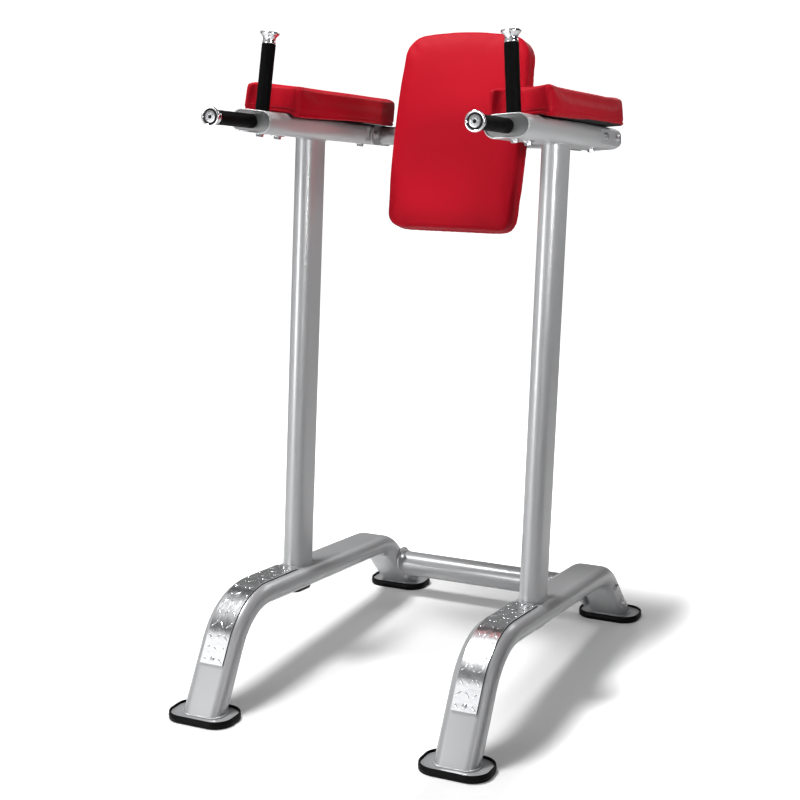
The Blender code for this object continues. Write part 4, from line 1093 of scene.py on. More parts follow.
upright_outline = upright_section(UPRIGHT_DEPTH, UPRIGHT_WIDTH)
upright_bottom = BEAM_Z + BEAM_HEIGHT / 2
upright_rings = [[(x, y, upright_bottom - 0.0004) for x, y in upright_outline],
                 [(x, y, upright_top(x) + 0.0006) for x, y in upright_outline]]
upright_mesh = as_mesh("upright", skin(upright_rings), "silver_paint")
around = upright_section(UPRIGHT_DEPTH + 0.0012, UPRIGHT_WIDTH + 0.0008)
low_weld = weld("upright base weld", [(x, y, upright_bottom + 0.0005) for x, y in around], UPRIGHT_BEAD)
top_weld = weld("upright top weld", [(x, y, upright_top(x) - 0.0005) for x, y in around], UPRIGHT_BEAD)
for side, sign in SIDES:
    place = TILT @ Matrix.Scale(sign, 4, (1, 0, 0))
    show(f"upright {side}", upright_mesh, place, "silver_paint", f"{side}_upright")
    show(f"upright base weld {side}", low_weld, place, "silver_paint")
    show(f"upright top weld {side}", top_weld, place, "silver_paint")
print("upright height:", round(upright_top(SIDE_X) - upright_bottom, 4))

# %% [markdown]
# Below the upright a plastic plug closes the opening in the beam through which the inside can be
# reached. It is a shallow flat-oval dish with a well rounded edge, and hangs out of the beam far enough
# that its black edge can be seen from the front.

# %% Plugs under the beams
PLUG_LENGTH = 0.092
PLUG_WIDTH = 0.050


def plug_outline(inset):
    return [(b, a) for a, b in flat_oval(PLUG_LENGTH - 2 * inset, PLUG_WIDTH - 2 * inset)]


plug_levels = [(0.0150, -0.0139), (0.0100, -0.0143), (0.0065, -0.0145), (0.0046, -0.0143),
               (0.0028, -0.0135), (0.0014, -0.0120), (0.0003, -0.0097), (0.0, -0.0075), (0.0, 0.0002)]
plug_mesh = as_mesh("beam plug", skin(stack(plug_levels, plug_outline)), "black_plastic", 50)
for side, sign in SIDES:
    place = TILT @ Matrix.Translation((sign * SIDE_X, UPRIGHT_Y, BEAM_Z - BEAM_HEIGHT / 2))
    show(f"beam plug {side}", plug_mesh, place, "black_plastic", f"{side}_beam_plug")
print("plug faces:", len(plug_mesh.polygons))

# %% [markdown]
# ## Arms
#
# The arm is a straight length of the wide flat-oval tube. Its front mouth stays open and shows the
# wall's rounded rim with a plate let in behind it. Its rear part is pressed flat on both sides, where
# the flange of the cross tube bolts on, and the last stretch rounds off above and below, as the photo's
# right arm shows.

# %% Arm tube
def soft_min(a, b):
    """The lesser of two lengths, blended where they come within PRESS_SOFT of each other."""
    blend = max(PRESS_SOFT - abs(a - b), 0.0) / PRESS_SOFT
    return min(a, b) - blend ** 3 * PRESS_SOFT / 6


def pressed(outline, half):
    """An outline whose round sides are pressed flat at half from its middle."""
    return [(math.copysign(soft_min(abs(a), half), a), b) for a, b in outline]


def ease(value):
    """0 below 0, 1 above 1, and a smooth step between."""
    value = min(1.0, max(0.0, value))
    return value * value * (3 - 2 * value)


PRESS_START = 0.091
END_RUN = 0.018
END_DROP = 0.34


def arm_ring(y, inset):
    """One ring of the arm's skin: pressed flat to the rear of PRESS_START, lower over the last END_RUN."""
    flat = ease((y - PRESS_START) / PRESS_RUN)
    free = BEAM_WIDTH / 2 + PRESS_SOFT
    half = free + (PRESSED_HALF - free) * flat - inset
    outline = flat_oval(BEAM_WIDTH - 2 * inset, BEAM_HEIGHT - 2 * inset)
    share = min(1.0, max(0.0, (y - ARM_REAR + END_RUN) / END_RUN))
    lower = 1 - END_DROP * (1 - math.sqrt(1 - share * share))
    return [(a, y, b * lower) for a, b in pressed(outline, half)]


rim = [(WALL * (0.5 - 0.5 * math.cos(turn)), ARM_FRONT + 0.0012 * (1 - math.sin(turn)))
       for turn in [math.pi * i / 8 for i in range(9)]]
outside = [arm_ring(y, inset) for inset, y in rim]
outside.reverse()
straight = [0.085 + (PRESS_RUN + 0.012) * i / 12 for i in range(13)]
last = [ARM_REAR - END_RUN * (1 - math.sin(turn)) for turn in [math.pi / 2 * i / 10 for i in range(11)]]
body = [arm_ring(y, 0.0) for y in straight + last]
inside = [arm_ring(y, WALL) for y in last[::-1] + straight[::-1]]
arm_mesh = as_mesh("arm", skin(outside + body + inside, ring_closed=True), "silver_paint")
plate_rings = [[(a, y, b) for a, b in flat_oval(BEAM_WIDTH - 2 * inset, BEAM_HEIGHT - 2 * inset)]
               for inset, y in ((0.0040, -0.4090), (0.0033, -0.4083), (0.0031, -0.4040))]
# the plate in the mouth takes the paint darkened as painted shade
front_plate_mesh = as_mesh("arm front plate", skin(plate_rings), "mouth_painted_shade")
cap_levels = [(0.0004, 0.2672), (0.0, 0.2684), (0.0, 0.2700), (0.0004, 0.2708),
              (0.0012, 0.27128), (0.0100, 0.2713)]
cap_rings = [arm_ring(y, inset) for inset, y in cap_levels]
rear_cap_mesh = as_mesh("arm rear cap", skin(cap_rings), "black_plastic", 50)
for side, sign in SIDES:
    place = arm_frame(sign)
    show(f"arm {side}", arm_mesh, place, "silver_paint", f"{side}_arm")
    show(f"arm front plate {side}", front_plate_mesh, place, "silver_paint", f"{side}_arm_front_plate")
    show(f"arm rear cap {side}", rear_cap_mesh, place, "black_plastic", f"{side}_arm_rear_cap")
print("arm faces:", len(arm_mesh.polygons))

# %% [markdown]
# ## Handles
#
# Every handle is a steel tube with a foam grip pushed over it and a flared chrome cap at its end. The
# cap is turned from bar. Its face holds a black ring and a boss with a socket screw that draws the cap
# on.

# %% Handle meshes
GRIP_LENGTH = 0.156
GRIP_RADIUS = 0.01675
GRIP_BORE = 0.0135


def grip_profile():
    """A grip from its foot up: rounded ends, and a side that is nowhere quite straight, as foam isn't."""
    profile = [(GRIP_BORE, 0.0), (GRIP_RADIUS - 0.0022, 0.0), (GRIP_RADIUS - 0.0006, 0.0007),
               (GRIP_RADIUS, 0.0024)]
    count = 40
    for i in range(1, count):
        share = i / count
        soft = 0.00010 * math.sin(share * 23) + 0.00004 * math.sin(share * 61)
        profile.append((GRIP_RADIUS - 0.0001 + soft, 0.0024 + (GRIP_LENGTH - 0.0048) * share))
    return profile + [(GRIP_RADIUS, GRIP_LENGTH - 0.0024), (GRIP_RADIUS - 0.0006, GRIP_LENGTH - 0.0007),
                      (GRIP_RADIUS - 0.0022, GRIP_LENGTH), (GRIP_BORE, GRIP_LENGTH)]


CAP_PROFILE = ((0.0120, 0.0001), (0.0152, 0.0001), (0.0157, 0.0005), (0.0159, 0.0012), (0.0159, 0.0036),
               (0.0156, 0.0046), (0.0150, 0.0054), (0.0148, 0.0070), (0.0148, 0.0090), (0.0150, 0.0108),
               (0.0156, 0.0128), (0.0167, 0.0149), (0.0183, 0.0170), (0.0202, 0.0190), (0.0217, 0.0206),
               (0.0226, 0.0219), (0.0230, 0.0232), (0.0230, 0.0246), (0.0227, 0.0259), (0.0220, 0.0267),
               (0.0211, 0.0270), (0.0200, 0.0269), (0.0190, 0.0265), (0.0182, 0.0258), (0.0178, 0.0248),
               (0.0177, 0.0232), (0.0100, 0.0230))
grip_mesh = as_mesh("grip", skin(turned(grip_profile(), 64)), "black_rubber", 50)
cap_mesh = as_mesh("handle cap", skin(turned(CAP_PROFILE, 96)), "chrome", 40)
INSERT_PROFILE = ((0.0176, 0.0228), (0.0176, 0.0243), (0.0172, 0.0247), (0.0150, 0.0247), (0.0136, 0.0244))
insert_mesh = as_mesh("cap insert", skin(turned(INSERT_PROFILE, 64)), "black_plastic", 40)
BOSS_PROFILE = ((0.0138, 0.0240), (0.0140, 0.0246), (0.0140, 0.0254), (0.0137, 0.0260), (0.0130, 0.0263),
                (0.0092, 0.0263), (0.0088, 0.0259), (0.0082, 0.0259), (0.0078, 0.0264), (0.0060, 0.0266))
boss_rings = turned(BOSS_PROFILE)
for flats, height in ((0.0082, 0.0264), (0.0080, 0.0215)):
    boss_rings.append([(a, b, height) for a, b in hexagon(flats)])
boss_mesh = as_mesh("cap boss", skin(boss_rings), "boss_steel", 40)
print("grip faces:", len(grip_mesh.polygons), "cap faces:", len(cap_mesh.polygons))

# %% [markdown]
# The level handle starts on the plate in the arm's mouth and points forward. The upright one starts on
# the top of the arm and leans inwards with it. Both carry the same grip, cap, ring and boss.

# %% Place the handles
UP_HANDLE_Y = -0.365
PLATE_FACE = ARM_FRONT + 0.004 - CLEARANCE
forward = Matrix.Translation((0, PLATE_FACE, 0)) @ Matrix.Rotation(math.pi / 2, 4, "X")
upward = Matrix.Translation((0, UP_HANDLE_Y, UNDER_ARM + CLEARANCE))
handle_frames = {}
for side, sign in SIDES:
    handle_frames[side, "dip"] = arm_frame(sign) @ forward
    handle_frames[side, "up"] = arm_frame(sign) @ upward
for (side, kind), place in handle_frames.items():
    end = place @ Matrix.Translation((0, 0, GRIP_LENGTH + CLEARANCE))
    show(f"{kind} handle grip {side}", grip_mesh, place, "black_rubber", f"{side}_{kind}_handle_grip")
    show(f"{kind} handle cap {side}", cap_mesh, end, "chrome", f"{side}_{kind}_handle_cap")
    show(f"{kind} cap insert {side}", insert_mesh, end, "black_plastic")
    show(f"{kind} cap boss {side}", boss_mesh, end, "bolt_steel")
print("handles:", len(handle_frames))

# %% [markdown]
# ## Cross tubes and their bolts
#
# Two round tubes tie the sides together: a stout one between the rear legs and a thinner one between
# the arms. A flange is welded to each end, and two bolts pass through the flange and the whole leg or
# arm. A washer and a nut close each bolt on the inside.

# %% Cross tubes
LOWER_TUBE_RADIUS = 0.035
UPPER_TUBE_RADIUS = 0.024
LOWER_FLANGE = (0.115, 0.074)
UPPER_FLANGE = (0.130, 0.053)
FLANGE_THICKNESS = 0.006
UPPER_CROSS_Y = 0.188


def oval_plate(length, width, low, high, edge):
    """Rings of a flat-oval plate with rounded edges, its length along X."""
    def outline(inset):
        return flat_oval(length - 2 * inset, width - 2 * inset)

    return stack(rounded(low, high, 0.0, edge), outline)


def cross_tube(name, radius, centre, flanges, size):
    """A round tube between flanges; flanges holds a matrix per side, with +Z outwards and X along it."""
    half = abs(flanges[0].translation.x)
    y, z = centre
    bm = skin([[(x, y + a, z + b) for a, b in circle(radius, 96)] for x in (-half + 0.002, half - 0.002)])
    rings = oval_plate(*size, -FLANGE_THICKNESS, 0.0, 0.0012)
    for flange in flanges:
        merge(bm, skin([[flange @ Vector(point) for point in ring] for ring in rings]))
    return as_mesh(name, bm, "silver_paint", 30)


def tube_welds(name, radius, centre, flanges):
    """Beads where the tube meets its flanges."""
    meshes = []
    y, z = centre
    for flange in flanges:
        normal = (flange.to_3x3() @ Vector((0, 0, 1))).normalized()
        foot = flange @ Vector((0, 0, -FLANGE_THICKNESS - 0.0004))
        points = []
        for a, b in circle(radius + 0.0006, 96):
            point = Vector((0, y + a, z + b))
            reach = (foot - point).dot(normal) / normal.x
            points.append(point + Vector((reach, 0, 0)))
        meshes.append(weld(name, points, 0.0026))
    return meshes


lower_flanges, upper_flanges = [], []
for side, sign in SIDES:
    axes = Matrix(((0, 0, sign), (1, 0, 0), (0, sign, 0))).to_4x4()
    on_leg = Matrix.Translation((sign * (SIDE_X - PRESSED_HALF - CLEARANCE), LOWER_CROSS.y, LOWER_CROSS.z))
    on_arm = Matrix.Translation((-sign * (PRESSED_HALF + CLEARANCE), UPPER_CROSS_Y, 0))
    lower_flanges.append(on_leg @ Matrix.Rotation(-REAR_LEG_ANGLE, 4, "X") @ axes)
    upper_flanges.append(TILT.inverted() @ arm_frame(sign) @ on_arm @ axes)
upper_middle = upper_flanges[0] @ Vector((0, 0, -FLANGE_THICKNESS / 2))
lower_tube = (LOWER_TUBE_RADIUS, (LOWER_CROSS.y, LOWER_CROSS.z), lower_flanges)
upper_tube = (UPPER_TUBE_RADIUS, (upper_middle.y, upper_middle.z), upper_flanges)
lower_mesh = cross_tube("lower cross tube", *lower_tube, LOWER_FLANGE)
upper_mesh = cross_tube("upper cross tube", *upper_tube, UPPER_FLANGE)
show("lower tube", lower_mesh, Matrix.Identity(4), "silver_paint", "lower_cross_tube")
show("upper tube", upper_mesh, TILT, "silver_paint", "upper_cross_tube")
for level, tube, place in (("lower", lower_tube, Matrix.Identity(4)), ("upper", upper_tube, TILT)):
    for (side, sign), mesh in zip(SIDES, tube_welds(f"{level} tube weld", *tube)):
        show(f"{level} tube weld {side}", mesh, place, "silver_paint")
tube_centre = TILT @ Vector((0, upper_middle.y, upper_middle.z))
print("upper tube centre:", tuple(round(value, 4) for value in tube_centre))

# %% [markdown]
# Each flange takes two bolts, one on either side of its tube, far enough out that a nut clears the
# tube. Their heads are on the outside. Every head is turned by another angle, since no fitter lines
# them up.

# %% Bolts through arms and legs
THROUGH = 2 * PRESSED_HALF + 0.0066
ARM_BOLT_OFF = 0.048
LEG_BOLT_OFF = 0.044
cross_bolt = bolt_mesh("cross bolt", THROUGH + 0.004)
cross_nut = nut_mesh("cross bolt nut", -THROUGH, -THROUGH - 0.0105)
for side, sign in SIDES:
    outward = Matrix.Rotation(sign * math.pi / 2, 4, "Y")
    for end, y in (("front", UPPER_CROSS_Y - ARM_BOLT_OFF), ("rear", UPPER_CROSS_Y + ARM_BOLT_OFF)):
        seat = arm_frame(sign) @ Matrix.Translation((sign * PRESSED_HALF, y, 0)) @ outward
        seat = seat @ Matrix.Rotation(y * 40, 4, "Z")
        show(f"{end} arm bolt {side}", cross_bolt, seat, "bolt_steel", f"{side}_{end}_arm_bolt")
        show(f"{end} arm bolt nut {side}", cross_nut, seat, "bolt_steel")
    for end, offset in (("upper", -LEG_BOLT_OFF), ("lower", LEG_BOLT_OFF)):
        spot = LOWER_CROSS + REAR_WAY * offset
        seat = Matrix.Translation((sign * (SIDE_X + PRESSED_HALF), spot.y, spot.z)) @ outward
        seat = seat @ Matrix.Rotation(offset * 30, 4, "Z")
        show(f"{end} leg bolt {side}", cross_bolt, seat, "bolt_steel", f"{side}_{end}_leg_bolt")
        show(f"{end} leg bolt nut {side}", cross_nut, seat, "bolt_steel")
print("bolt faces:", len(cross_bolt.polygons), "nut faces:", len(cross_nut.polygons))

# %% [markdown]
# Three more bolts go up into each arm from below. One holds the upright handle and two hold the pad's
# board. The photo shows a long bright patch beside the front one of these two, so a flat-oval washer
# plate lies there.

# %% Bolts under the arms
FRONT_PAD_BOLT = -0.280
REAR_PAD_BOLT = 0.165
under_bolt = bolt_mesh("under-arm bolt", 0.030)
washer_rings = [[(b, a, z) for a, b, z in ring] for ring in oval_plate(0.044, 0.024, 0.0, 0.0022, 0.0006)]
washer_plate = as_mesh("washer plate", skin(washer_rings), "bolt_steel")
for side, sign in SIDES:
    for end, y in (("up_handle", UP_HANDLE_Y), ("front_pad", FRONT_PAD_BOLT), ("rear_pad", REAR_PAD_BOLT)):
        seat = arm_frame(sign) @ Matrix.Translation((0, y, -UNDER_ARM)) @ Matrix.Rotation(math.pi, 4, "X")
        if end == "front_pad":
            show(f"front pad washer plate {side}", washer_plate, seat, "bolt_steel")
            seat = seat @ Matrix.Translation((0, 0, 0.0020))
        show(f"{end} bolt {side}", under_bolt, seat, "bolt_steel", f"{side}_{end}_bolt")
print("washer plate faces:", len(washer_plate.polygons))

# %% [markdown]
# ## Cushions
#
# Upholstery gets its form from foam that pushes a sewn cover outwards while staples hold the cover down
# on the board. The next cell does the same. The pad's plain shape is remeshed into even squares, the
# side on its board is held still, and twenty frames of cloth simulation blow it up a little. Points that
# would travel further than foam lets them are held back, and one subdivision makes the surface smooth.

# %% Blow up a cushion
FOAM_PRESSURE = 4.0
CLOTH_FRAMES = 20
ARM_PAD_SWELL = 0.0034
BACK_PAD_SWELL = 0.0030
SLACK = 0.0016              # the plain shape is drawn in by this, to leave the foam room to swell


def evaluated_mesh(piece):
    depsgraph = bpy.context.evaluated_depsgraph_get()
    return bpy.data.meshes.new_from_object(piece.evaluated_get(depsgraph), depsgraph=depsgraph)


def swap_mesh(piece, modifier):
    """Applies one modifier by keeping what it makes."""
    made = evaluated_mesh(piece)
    piece.modifiers.remove(modifier)
    piece.data = made
    return made


def inflated(name, bm, voxel, held, reach):
    """A closed shape blown up as cloth. held says which points stay put, reach how far the rest may go."""
    cover = bpy.data.objects.new(name, as_mesh(name, bm, "red_vinyl"))
    scene.collection.objects.link(cover)
    even = cover.modifiers.new("even squares", "REMESH")
    even.mode = "VOXEL"
    even.voxel_size = voxel
    start = [vertex.co.copy() for vertex in swap_mesh(cover, even).vertices]
    stay = cover.vertex_groups.new(name="held")
    stay.add([i for i, point in enumerate(start) if held(point)], 1.0, "REPLACE")
    cloth = cover.modifiers.new("cover", "CLOTH")
    cloth.settings.vertex_group_mass = "held"
    cloth.settings.use_pressure = True
    cloth.settings.uniform_pressure_force = FOAM_PRESSURE
    cloth.settings.effector_weights.gravity = 0.0
    for number in range(1, CLOTH_FRAMES + 1):
        scene.frame_set(number)
    blown = swap_mesh(cover, cloth)
    scene.frame_set(1)
    for vertex, point in zip(blown.vertices, start):
        move = vertex.co - point
        if move.length > reach:
            vertex.co = point + move * (reach / move.length)
    soften = cover.modifiers.new("soften", "SMOOTH")
    soften.factor = 0.5
    soften.iterations = 9
    swap_mesh(cover, soften)
    finer = cover.modifiers.new("finer", "SUBSURF")
    finer.levels = 1
    mesh = swap_mesh(cover, finer)
    mesh.materials.clear()
    mesh.materials.append(FINISHES["red_vinyl"])
    bpy.data.objects.remove(cover)
    return mesh


# %% [markdown]
# A swollen shape isn't a cushion yet. `carve` presses the folds and puckers of sewing into it, with
# bumps and waves whose height falls off away from the seam. The seam's piping and its stitches are then
# laid on the result, by shooting rays at it from round the outline: wherever the cover went, the thread
# follows.

# %% Sew a cushion
def carve(mesh, move):
    """Moves every point by a vector that depends on its place and its normal."""
    moves = [move(vertex.co, vertex.normal) for vertex in mesh.vertices]
    for vertex, offset in zip(mesh.vertices, moves):
        vertex.co += offset
    mesh.update()
    mesh.shade_smooth()


def dip(value, middle, width):
    """A smooth bump of height 1 at middle."""
    return math.exp(-((value - middle) / width) ** 2)


def ripple(along, waves, sway, slow):
    """A wave along a seam whose pitch wanders, so that no two puckers are alike."""
    return math.sin(along * waves + sway * math.sin(along * slow))


def rays(ring, embed, off_plane, lean, distance):
    """Rays at an outline from outside it, as starts and ways.

    embed makes a vector of two numbers in the outline's plane and one off it. off_plane says how far off
    the plane an outline's point lies, lean tips the rays, and distance is how far away they start."""
    starts, ways = [], []
    for i, (a, b) in enumerate(ring):
        before, after = ring[i - 1], ring[(i + 1) % len(ring)]
        out = embed(after[1] - before[1], before[0] - after[0], 0).normalized() + embed(0, 0, lean)
        out.normalize()
        starts.append(embed(a, b, off_plane(b)) + out * distance)
        ways.append(-out)
    return starts, ways


def on_surface(mesh, starts, ways, lift):
    """Where rays from outside first meet a mesh, lifted off it a little."""
    corners = [vertex.co for vertex in mesh.vertices]
    tree = BVHTree.FromPolygons(corners, [face.vertices for face in mesh.polygons])
    found = []
    for start, direction in zip(starts, ways):
        spot, normal, face, distance = tree.ray_cast(start, direction)
        if spot is not None:
            found.append(spot + normal * lift)
    return found


def piped(name, line):
    """The raised edge of a seam along a closed line."""
    return BEAD.run(name, line, {"Pitch": 0.0052, "Radius": 0.0009, "Finish": FINISHES["red_vinyl"]}, True)


def stitched(name, line):
    """A row of stitches along a closed line."""
    sizes = {"Pitch": 0.0048, "Thickness": 0.00042, "Half length": 0.0017, "Finish": FINISHES["thread"]}
    return ROW.run(name, line, sizes, True)


# %% [markdown]
# ### Arm pads
#
# Seen from above, an arm pad is a long board shape with a round notch in its front, so that the upright
# handle stands between two lips. A fold runs round it just above the bottom, where the cover's side
# panel is sewn on, and in front the cover hangs a little over the edge of the arm.

# %% Outline of an arm pad
PAD_HALF = 0.080
PAD_FRONT = -0.330
PAD_REAR = 0.209
PAD_LIP = 0.014
PAD_NOTCH = 0.075
PAD_CORNER = 0.018
PAD_BOTTOM = UNDER_ARM + CLEARANCE
PAD_THICKNESS = 0.063
PAD_TAPER = 0.07
PAD_SEAM = 0.0085
PAD_EDGE = 0.0075
LIP_X = PAD_HALF - PAD_LIP
LIP_RISE = math.sqrt((PAD_NOTCH + PAD_LIP) ** 2 - LIP_X ** 2)
LIP_Y = PAD_FRONT + PAD_LIP
NOTCH_CENTRE = (0.0, LIP_Y - LIP_RISE)


def pad_outline(inset, fine=1):
    """The outline drawn in by inset, point for point the same whatever the inset."""
    touch = math.atan2(LIP_RISE, LIP_X)
    lip = PAD_LIP - inset
    corner = PAD_CORNER - inset
    x, y = PAD_HALF - PAD_CORNER, PAD_REAR - PAD_CORNER
    side = [(PAD_HALF - inset, LIP_Y + (y - LIP_Y) * i / (8 * fine)) for i in range(1, 8 * fine)]
    points = arc((LIP_X, LIP_Y), lip, touch - math.pi, 0, 8 * fine) + side
    points += arc((x, y), corner, 0, math.pi / 2, 4 * fine)
    points += arc((-x, y), corner, math.pi / 2, math.pi, 4 * fine)
    points += [(-a, b) for a, b in reversed(side)]
    points += arc((-LIP_X, LIP_Y), lip, math.pi, 2 * math.pi - touch, 8 * fine)
    notch = arc(NOTCH_CENTRE, PAD_NOTCH + inset, math.pi - touch, touch, 16 * fine)
    return points + notch[1:-1]


def pad_height(y, above):
    """A pad grows a little thicker towards the rear, above its seam only."""
    extra = max(0.0, above - PAD_SEAM) * PAD_TAPER * (y - PAD_FRONT) / (PAD_REAR - PAD_FRONT)
    return PAD_BOTTOM + above + extra


print("arm pad outline points:", len(pad_outline(0.0)))

# %% [markdown]
# The plain shape is the outline at a few heights, with a rounded top edge. After the simulation the
# fold, the puckers and the sag over the arm are carved in, and the underside is lifted off the board
# that lies there.

# %% Simulate the arm pads' cover
EDGE_TURNS = [math.pi / 2 * i / 5 for i in range(1, 6)]
pad_levels = [(0.0030, 0.0), (0.0012, 0.0012)]
pad_levels += [(0.0, 0.0035), (0.0, PAD_SEAM), (0.0, PAD_THICKNESS - PAD_EDGE)]
pad_levels += [(PAD_EDGE * (1 - math.cos(turn)), PAD_THICKNESS - PAD_EDGE * (1 - math.sin(turn)))
               for turn in EDGE_TURNS]
pad_rings = [[(x, y, pad_height(y, h)) for x, y in pad_outline(inset + SLACK)] for inset, h in pad_levels]
pad_mesh = inflated("arm pad", skin(pad_rings), 0.004,
                    lambda point: point.z < PAD_BOTTOM + 0.0025, ARM_PAD_SWELL)


def pad_rim(point):
    """How far a point lies inside the pad's outline."""
    notch = math.hypot(point.x, point.y - NOTCH_CENTRE[1]) - PAD_NOTCH
    return min(PAD_HALF - abs(point.x), PAD_REAR - point.y, point.y - PAD_FRONT, notch)


def sew_arm_pad(point, normal):
    """Fold, puckers beside it, the cover's sag over the arm and the underside's lift."""
    above = point.z - PAD_BOTTOM
    outward = Vector((normal.x, normal.y, 0))
    along = point.y + point.x * 0.35
    groove = 0.0022 * dip(above, PAD_SEAM + 0.001, 0.0020)
    roll = 0.0012 * dip(above, PAD_SEAM - 0.0045, 0.0028)
    pucker = 0.00016 * dip(above, PAD_SEAM + 0.007, 0.007) * ripple(along, 420, 2.2, 95)
    soft = 0.0005 * math.sin(point.y * 13 + 0.8) * math.cos(point.x * 19 + point.y * 7)
    move = outward * (roll - groove + pucker) + normal * soft * ease(above / 0.03)
    overhang = ease((abs(point.x) - 0.036) / 0.036)
    ahead = 1 - ease((point.y - PAD_FRONT - 0.02) / 0.33)
    move.z -= 0.0075 * overhang * ahead * (1 - ease(above / 0.045))
    if above < 0.0012:
        move.z += 0.0016 * ease((pad_rim(point) - 0.0046) / 0.0012)
    return move


carve(pad_mesh, sew_arm_pad)
print("arm pad points:", len(pad_mesh.vertices))

# %% [markdown]
# Two lines run round the pad: piping on its top edge, where rays come down at a slant, and stitches
# just above the fold, where they come in level.

# %% Seams of the arm pads
def pad_rays(inset, above, lean):
    """Rays from round the pad towards its outline, from a height above its seat."""
    return rays(pad_outline(inset, 3), lambda x, y, z: Vector((x, y, z)),
                lambda y: pad_height(y, above), lean, 0.012)


top_seam = on_surface(pad_mesh, *pad_rays(0.0025, PAD_THICKNESS - 0.0030, 0.9), -0.0002)
low_seam = on_surface(pad_mesh, *pad_rays(0.0, PAD_SEAM + 0.0048, 0.0), 0.0001)
piping = piped("arm pad seam", top_seam)
stitches = stitched("arm pad stitches", low_seam)
for side, sign in SIDES:
    place = arm_frame(sign)
    cushion = show(f"arm pad {side}", pad_mesh, place, "red_vinyl", f"{side}_arm_pad")
    show(f"arm pad seam {side}", piping, place, "red_vinyl")
    show(f"arm pad stitches {side}", stitches, place, "red_vinyl")
print("seam points:", len(top_seam), len(low_seam))

# %% [markdown]
# ### Back pad
#
# The back pad is a broad, slightly bowed board under foam, with bulging sides and an arched top. Its
# frame leans back and hangs from the upper cross tube, so its place follows the tube's. The cover turns
# over a fairly crisp front edge, and its rear is closed by a stapled panel of backing cloth.

# %% Outline of the back pad
BACK_LEAN = math.radians(15.4)
BACK_HALF = 0.171
BACK_BOTTOM = -0.251
BACK_TOP = 0.244
BACK_THICKNESS = 0.055
BACK_EDGE = 0.009
PANEL_MARGIN = 0.017
BACK_OFFSET = Vector((0, -0.1292, 0.0233))
back_frame = Matrix.Translation(tube_centre + BACK_OFFSET) @ Matrix.Rotation(-BACK_LEAN, 4, "X")


def back_outline(inset, scale=1.0, fine=1):
    """Barrel-sided outline in the XZ plane with an arched top."""
    low, high = BACK_BOTTOM + inset, BACK_TOP - inset
    half = BACK_HALF - inset
    lower, upper = 0.034 - inset, 0.046 - inset
    count = 10 * fine
    points = []
    corners = (((half - lower, low + lower), lower, -1), ((half - upper, high - upper), upper, 0),
               ((upper - half, high - upper), upper, 1), ((lower - half, low + lower), lower, 2))
    for number, (centre, corner, quarter) in enumerate(corners):
        start = quarter * math.pi / 2
        points += arc(centre, corner, start, start + math.pi / 2, 6 * fine)
        following, size, turn = corners[(number + 1) % 4]
        first = points[-1]
        last = arc(following, size, turn * math.pi / 2, turn * math.pi / 2, 1)[0]
        step = [last[0] - first[0], last[1] - first[1]]
        points += [(first[0] + step[0] * i / count, first[1] + step[1] * i / count)
                   for i in range(1, count)]
    middle, reach = (low + high) / 2, (high - low) / 2
    shaped = []
    for x, z in points:
        up = (z - middle) / reach
        x += 0.009 * (1 - up * up) * max(-1.0, min(1.0, x / 0.08))
        z += 0.020 * (1 - (x / BACK_HALF) ** 2) * max(0.0, up)
        shaped.append((x * scale, middle + (z - middle) * scale))
    return shaped


def bow(z):
    """How far the pad bends back at a height."""
    return 0.010 * (z / BACK_BOTTOM) ** 2


def back_ring(outline, depth):
    return [(x, depth + bow(z), z) for x, z in outline]


print("back pad outline points:", len(back_outline(0.0)))

# %% [markdown]
# This time the rings run from the rear to the front, and both faces are closed by the outline drawn
# smaller and smaller, so that each can be bowed. The front also swells by 5.5 mm in the middle before
# the cover is blown up.

# %% Simulate the back pad's cover
back_levels = [(0.0030, BACK_THICKNESS), (0.0012, BACK_THICKNESS - 0.0014), (0.0, BACK_THICKNESS - 0.004),
               (0.0, 0.030), (0.0, BACK_EDGE)]
back_levels += [(BACK_EDGE * (1 - math.cos(turn)), BACK_EDGE * (1 - math.sin(turn))) for turn in EDGE_TURNS]
back_rings = [back_ring(back_outline(0.005, scale), BACK_THICKNESS) for scale in (0.1, 0.3, 0.5, 0.7, 0.9)]
back_rings += [back_ring(back_outline(inset + SLACK), depth) for inset, depth in back_levels]
back_rings += [back_ring(back_outline(BACK_EDGE + SLACK, scale), -0.0055 * share)
               for scale, share in ((0.93, 0.25), (0.8, 0.6), (0.6, 0.86), (0.35, 0.97), (0.12, 1.0))]
back_mesh = inflated("back pad", skin(back_rings), 0.005,
                     lambda point: point.y - bow(point.z) > BACK_THICKNESS - 0.003, BACK_PAD_SWELL)


def sew_back_pad(point, normal):
    """A fold beside the staples, faint puckers and the gentle unevenness of foam."""
    depth = point.y - bow(point.z)
    outward = Vector((normal.x, 0, normal.z))
    along = point.x + point.z
    fold = 0.0016 * dip(depth, BACK_THICKNESS - 0.012, 0.0026)
    pucker = 0.00022 * dip(depth, BACK_THICKNESS - 0.008, 0.009) * ripple(along, 360, 2.0, 80)
    soft = 0.0007 * math.sin(point.x * 21 + 1.1) * math.cos(point.z * 15) * ease((0.04 - depth) / 0.02)
    move = outward * (pucker - fold) + normal * soft
    low, high = BACK_BOTTOM + PANEL_MARGIN, BACK_TOP - PANEL_MARGIN
    under_panel = abs(point.x) < BACK_HALF - PANEL_MARGIN and low < point.z < high
    if depth > BACK_THICKNESS - 0.004 and under_panel:
        move.y -= 0.002
    return move


carve(back_mesh, sew_back_pad)
back_cushion = show("back cushion", back_mesh, back_frame, "red_vinyl", "back_pad")
print("back pad points:", len(back_mesh.vertices))

# %% [markdown]
# The back pad has its piping on the front edge and its stitches near the rear one. A panel of backing
# cloth covers the board. It bows with the pad, so it is built of shrinking rings on both faces, and
# staples hold it.

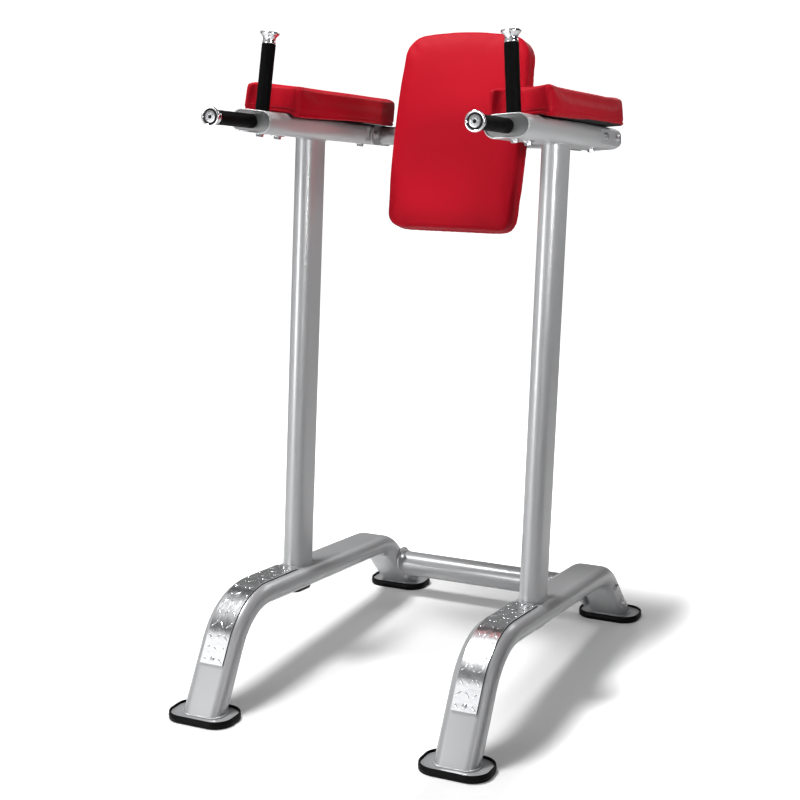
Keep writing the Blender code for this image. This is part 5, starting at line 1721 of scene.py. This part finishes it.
# %% Seams and staples of the back pad
def back_rays(inset, depth, lean):
    """Rays from round the pad towards its edge; a lean below zero tips them to the front."""
    return rays(back_outline(inset, 1.0, 4), lambda x, z, y: Vector((x, y, z)),
                lambda z: depth + bow(z), lean, 0.015)


front_seam = on_surface(back_mesh, *back_rays(0.0030, 0.0030, -0.9), -0.0002)
side_seam = on_surface(back_mesh, *back_rays(0.0, BACK_THICKNESS - 0.016, 0.0), 0.0001)
show("back pad seam", piped("back pad seam", front_seam), back_frame, "red_vinyl")
show("back pad stitches", stitched("back pad stitches", side_seam), back_frame, "red_vinyl")
panel_scales = (1.0, 0.85, 0.7, 0.55, 0.4, 0.25, 0.1)
panel_edge = ((0.0120, -0.0020), (0.0120, 0.0006), (0.0128, 0.0011))
panel_rings = [back_ring(back_outline(0.0150, scale), BACK_THICKNESS - 0.002)
               for scale in reversed(panel_scales)]
panel_rings += [back_ring(back_outline(inset), BACK_THICKNESS + behind) for inset, behind in panel_edge]
panel_rings += [back_ring(back_outline(0.0150, scale), BACK_THICKNESS + 0.0012) for scale in panel_scales]
panel_mesh = as_mesh("backing panel", skin(panel_rings), "dark_board", 50)
show("backing panel", panel_mesh, back_frame, "dark_board", "back_pad_board")
staple_line = [Vector(point) for point in back_ring(back_outline(0.0175), BACK_THICKNESS + 0.0013)]
STAPLE = {"Pitch": 0.024, "Thickness": 0.0005, "Half length": 0.0052, "Finish": FINISHES["bolt_steel"]}
staples = ROW.run("staples", staple_line, STAPLE, True)
show("back pad staples", staples, back_frame, "bolt_steel")
print("seam points:", len(front_seam), len(side_seam), "staple faces:", len(staples.polygons))

# %% [markdown]
# ### Bracket
#
# A welded bracket carries the back pad. Its plate is screwed to the board, and two ribs reach back to
# the cross tube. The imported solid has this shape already, so it only gets its paint and its four
# screws.

# %% Bracket screws
BRACKET_HALF_HEIGHT = 0.075
BRACKET_PLATE = 0.005
SCREW_X, SCREW_Z = 0.066, 0.061
pan_screw = button_mesh("pan screw", 0.0060, 0.0034)
plate_back = BACK_THICKNESS + bow(BRACKET_HALF_HEIGHT) + CLEARANCE + BRACKET_PLATE
screw_places = [(x, z) for z in (-SCREW_Z, SCREW_Z) for x in (-SCREW_X, SCREW_X)]
for number, (x, z) in enumerate(screw_places, 1):
    seat = back_frame @ Matrix.Translation((x, plate_back, z)) @ Matrix.Rotation(-math.pi / 2, 4, "X")
    show(f"bracket screw {number}", pan_screw, seat, "bolt_steel")
print("bracket screws:", len(screw_places))

# %% [markdown]
# Seven solids have nothing to add to: the bracket, the handles' inner tubes, which their grips hide,
# and the boards inside the arm pads. They are shown as they are and only get a finish.

# %% Solids that are shown as they are
KEPT = {"back_pad_bracket": "silver_paint", "left_dip_handle_tube": "silver_paint",
        "right_dip_handle_tube": "silver_paint", "left_up_handle_tube": "silver_paint",
        "right_up_handle_tube": "silver_paint", "left_arm_pad_board": "dark_board",
        "right_arm_pad_board": "dark_board"}
for node, finish in KEPT.items():
    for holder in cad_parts[node].material_slots:
        holder.material = FINISHES[finish]
print("kept solids:", len(KEPT))
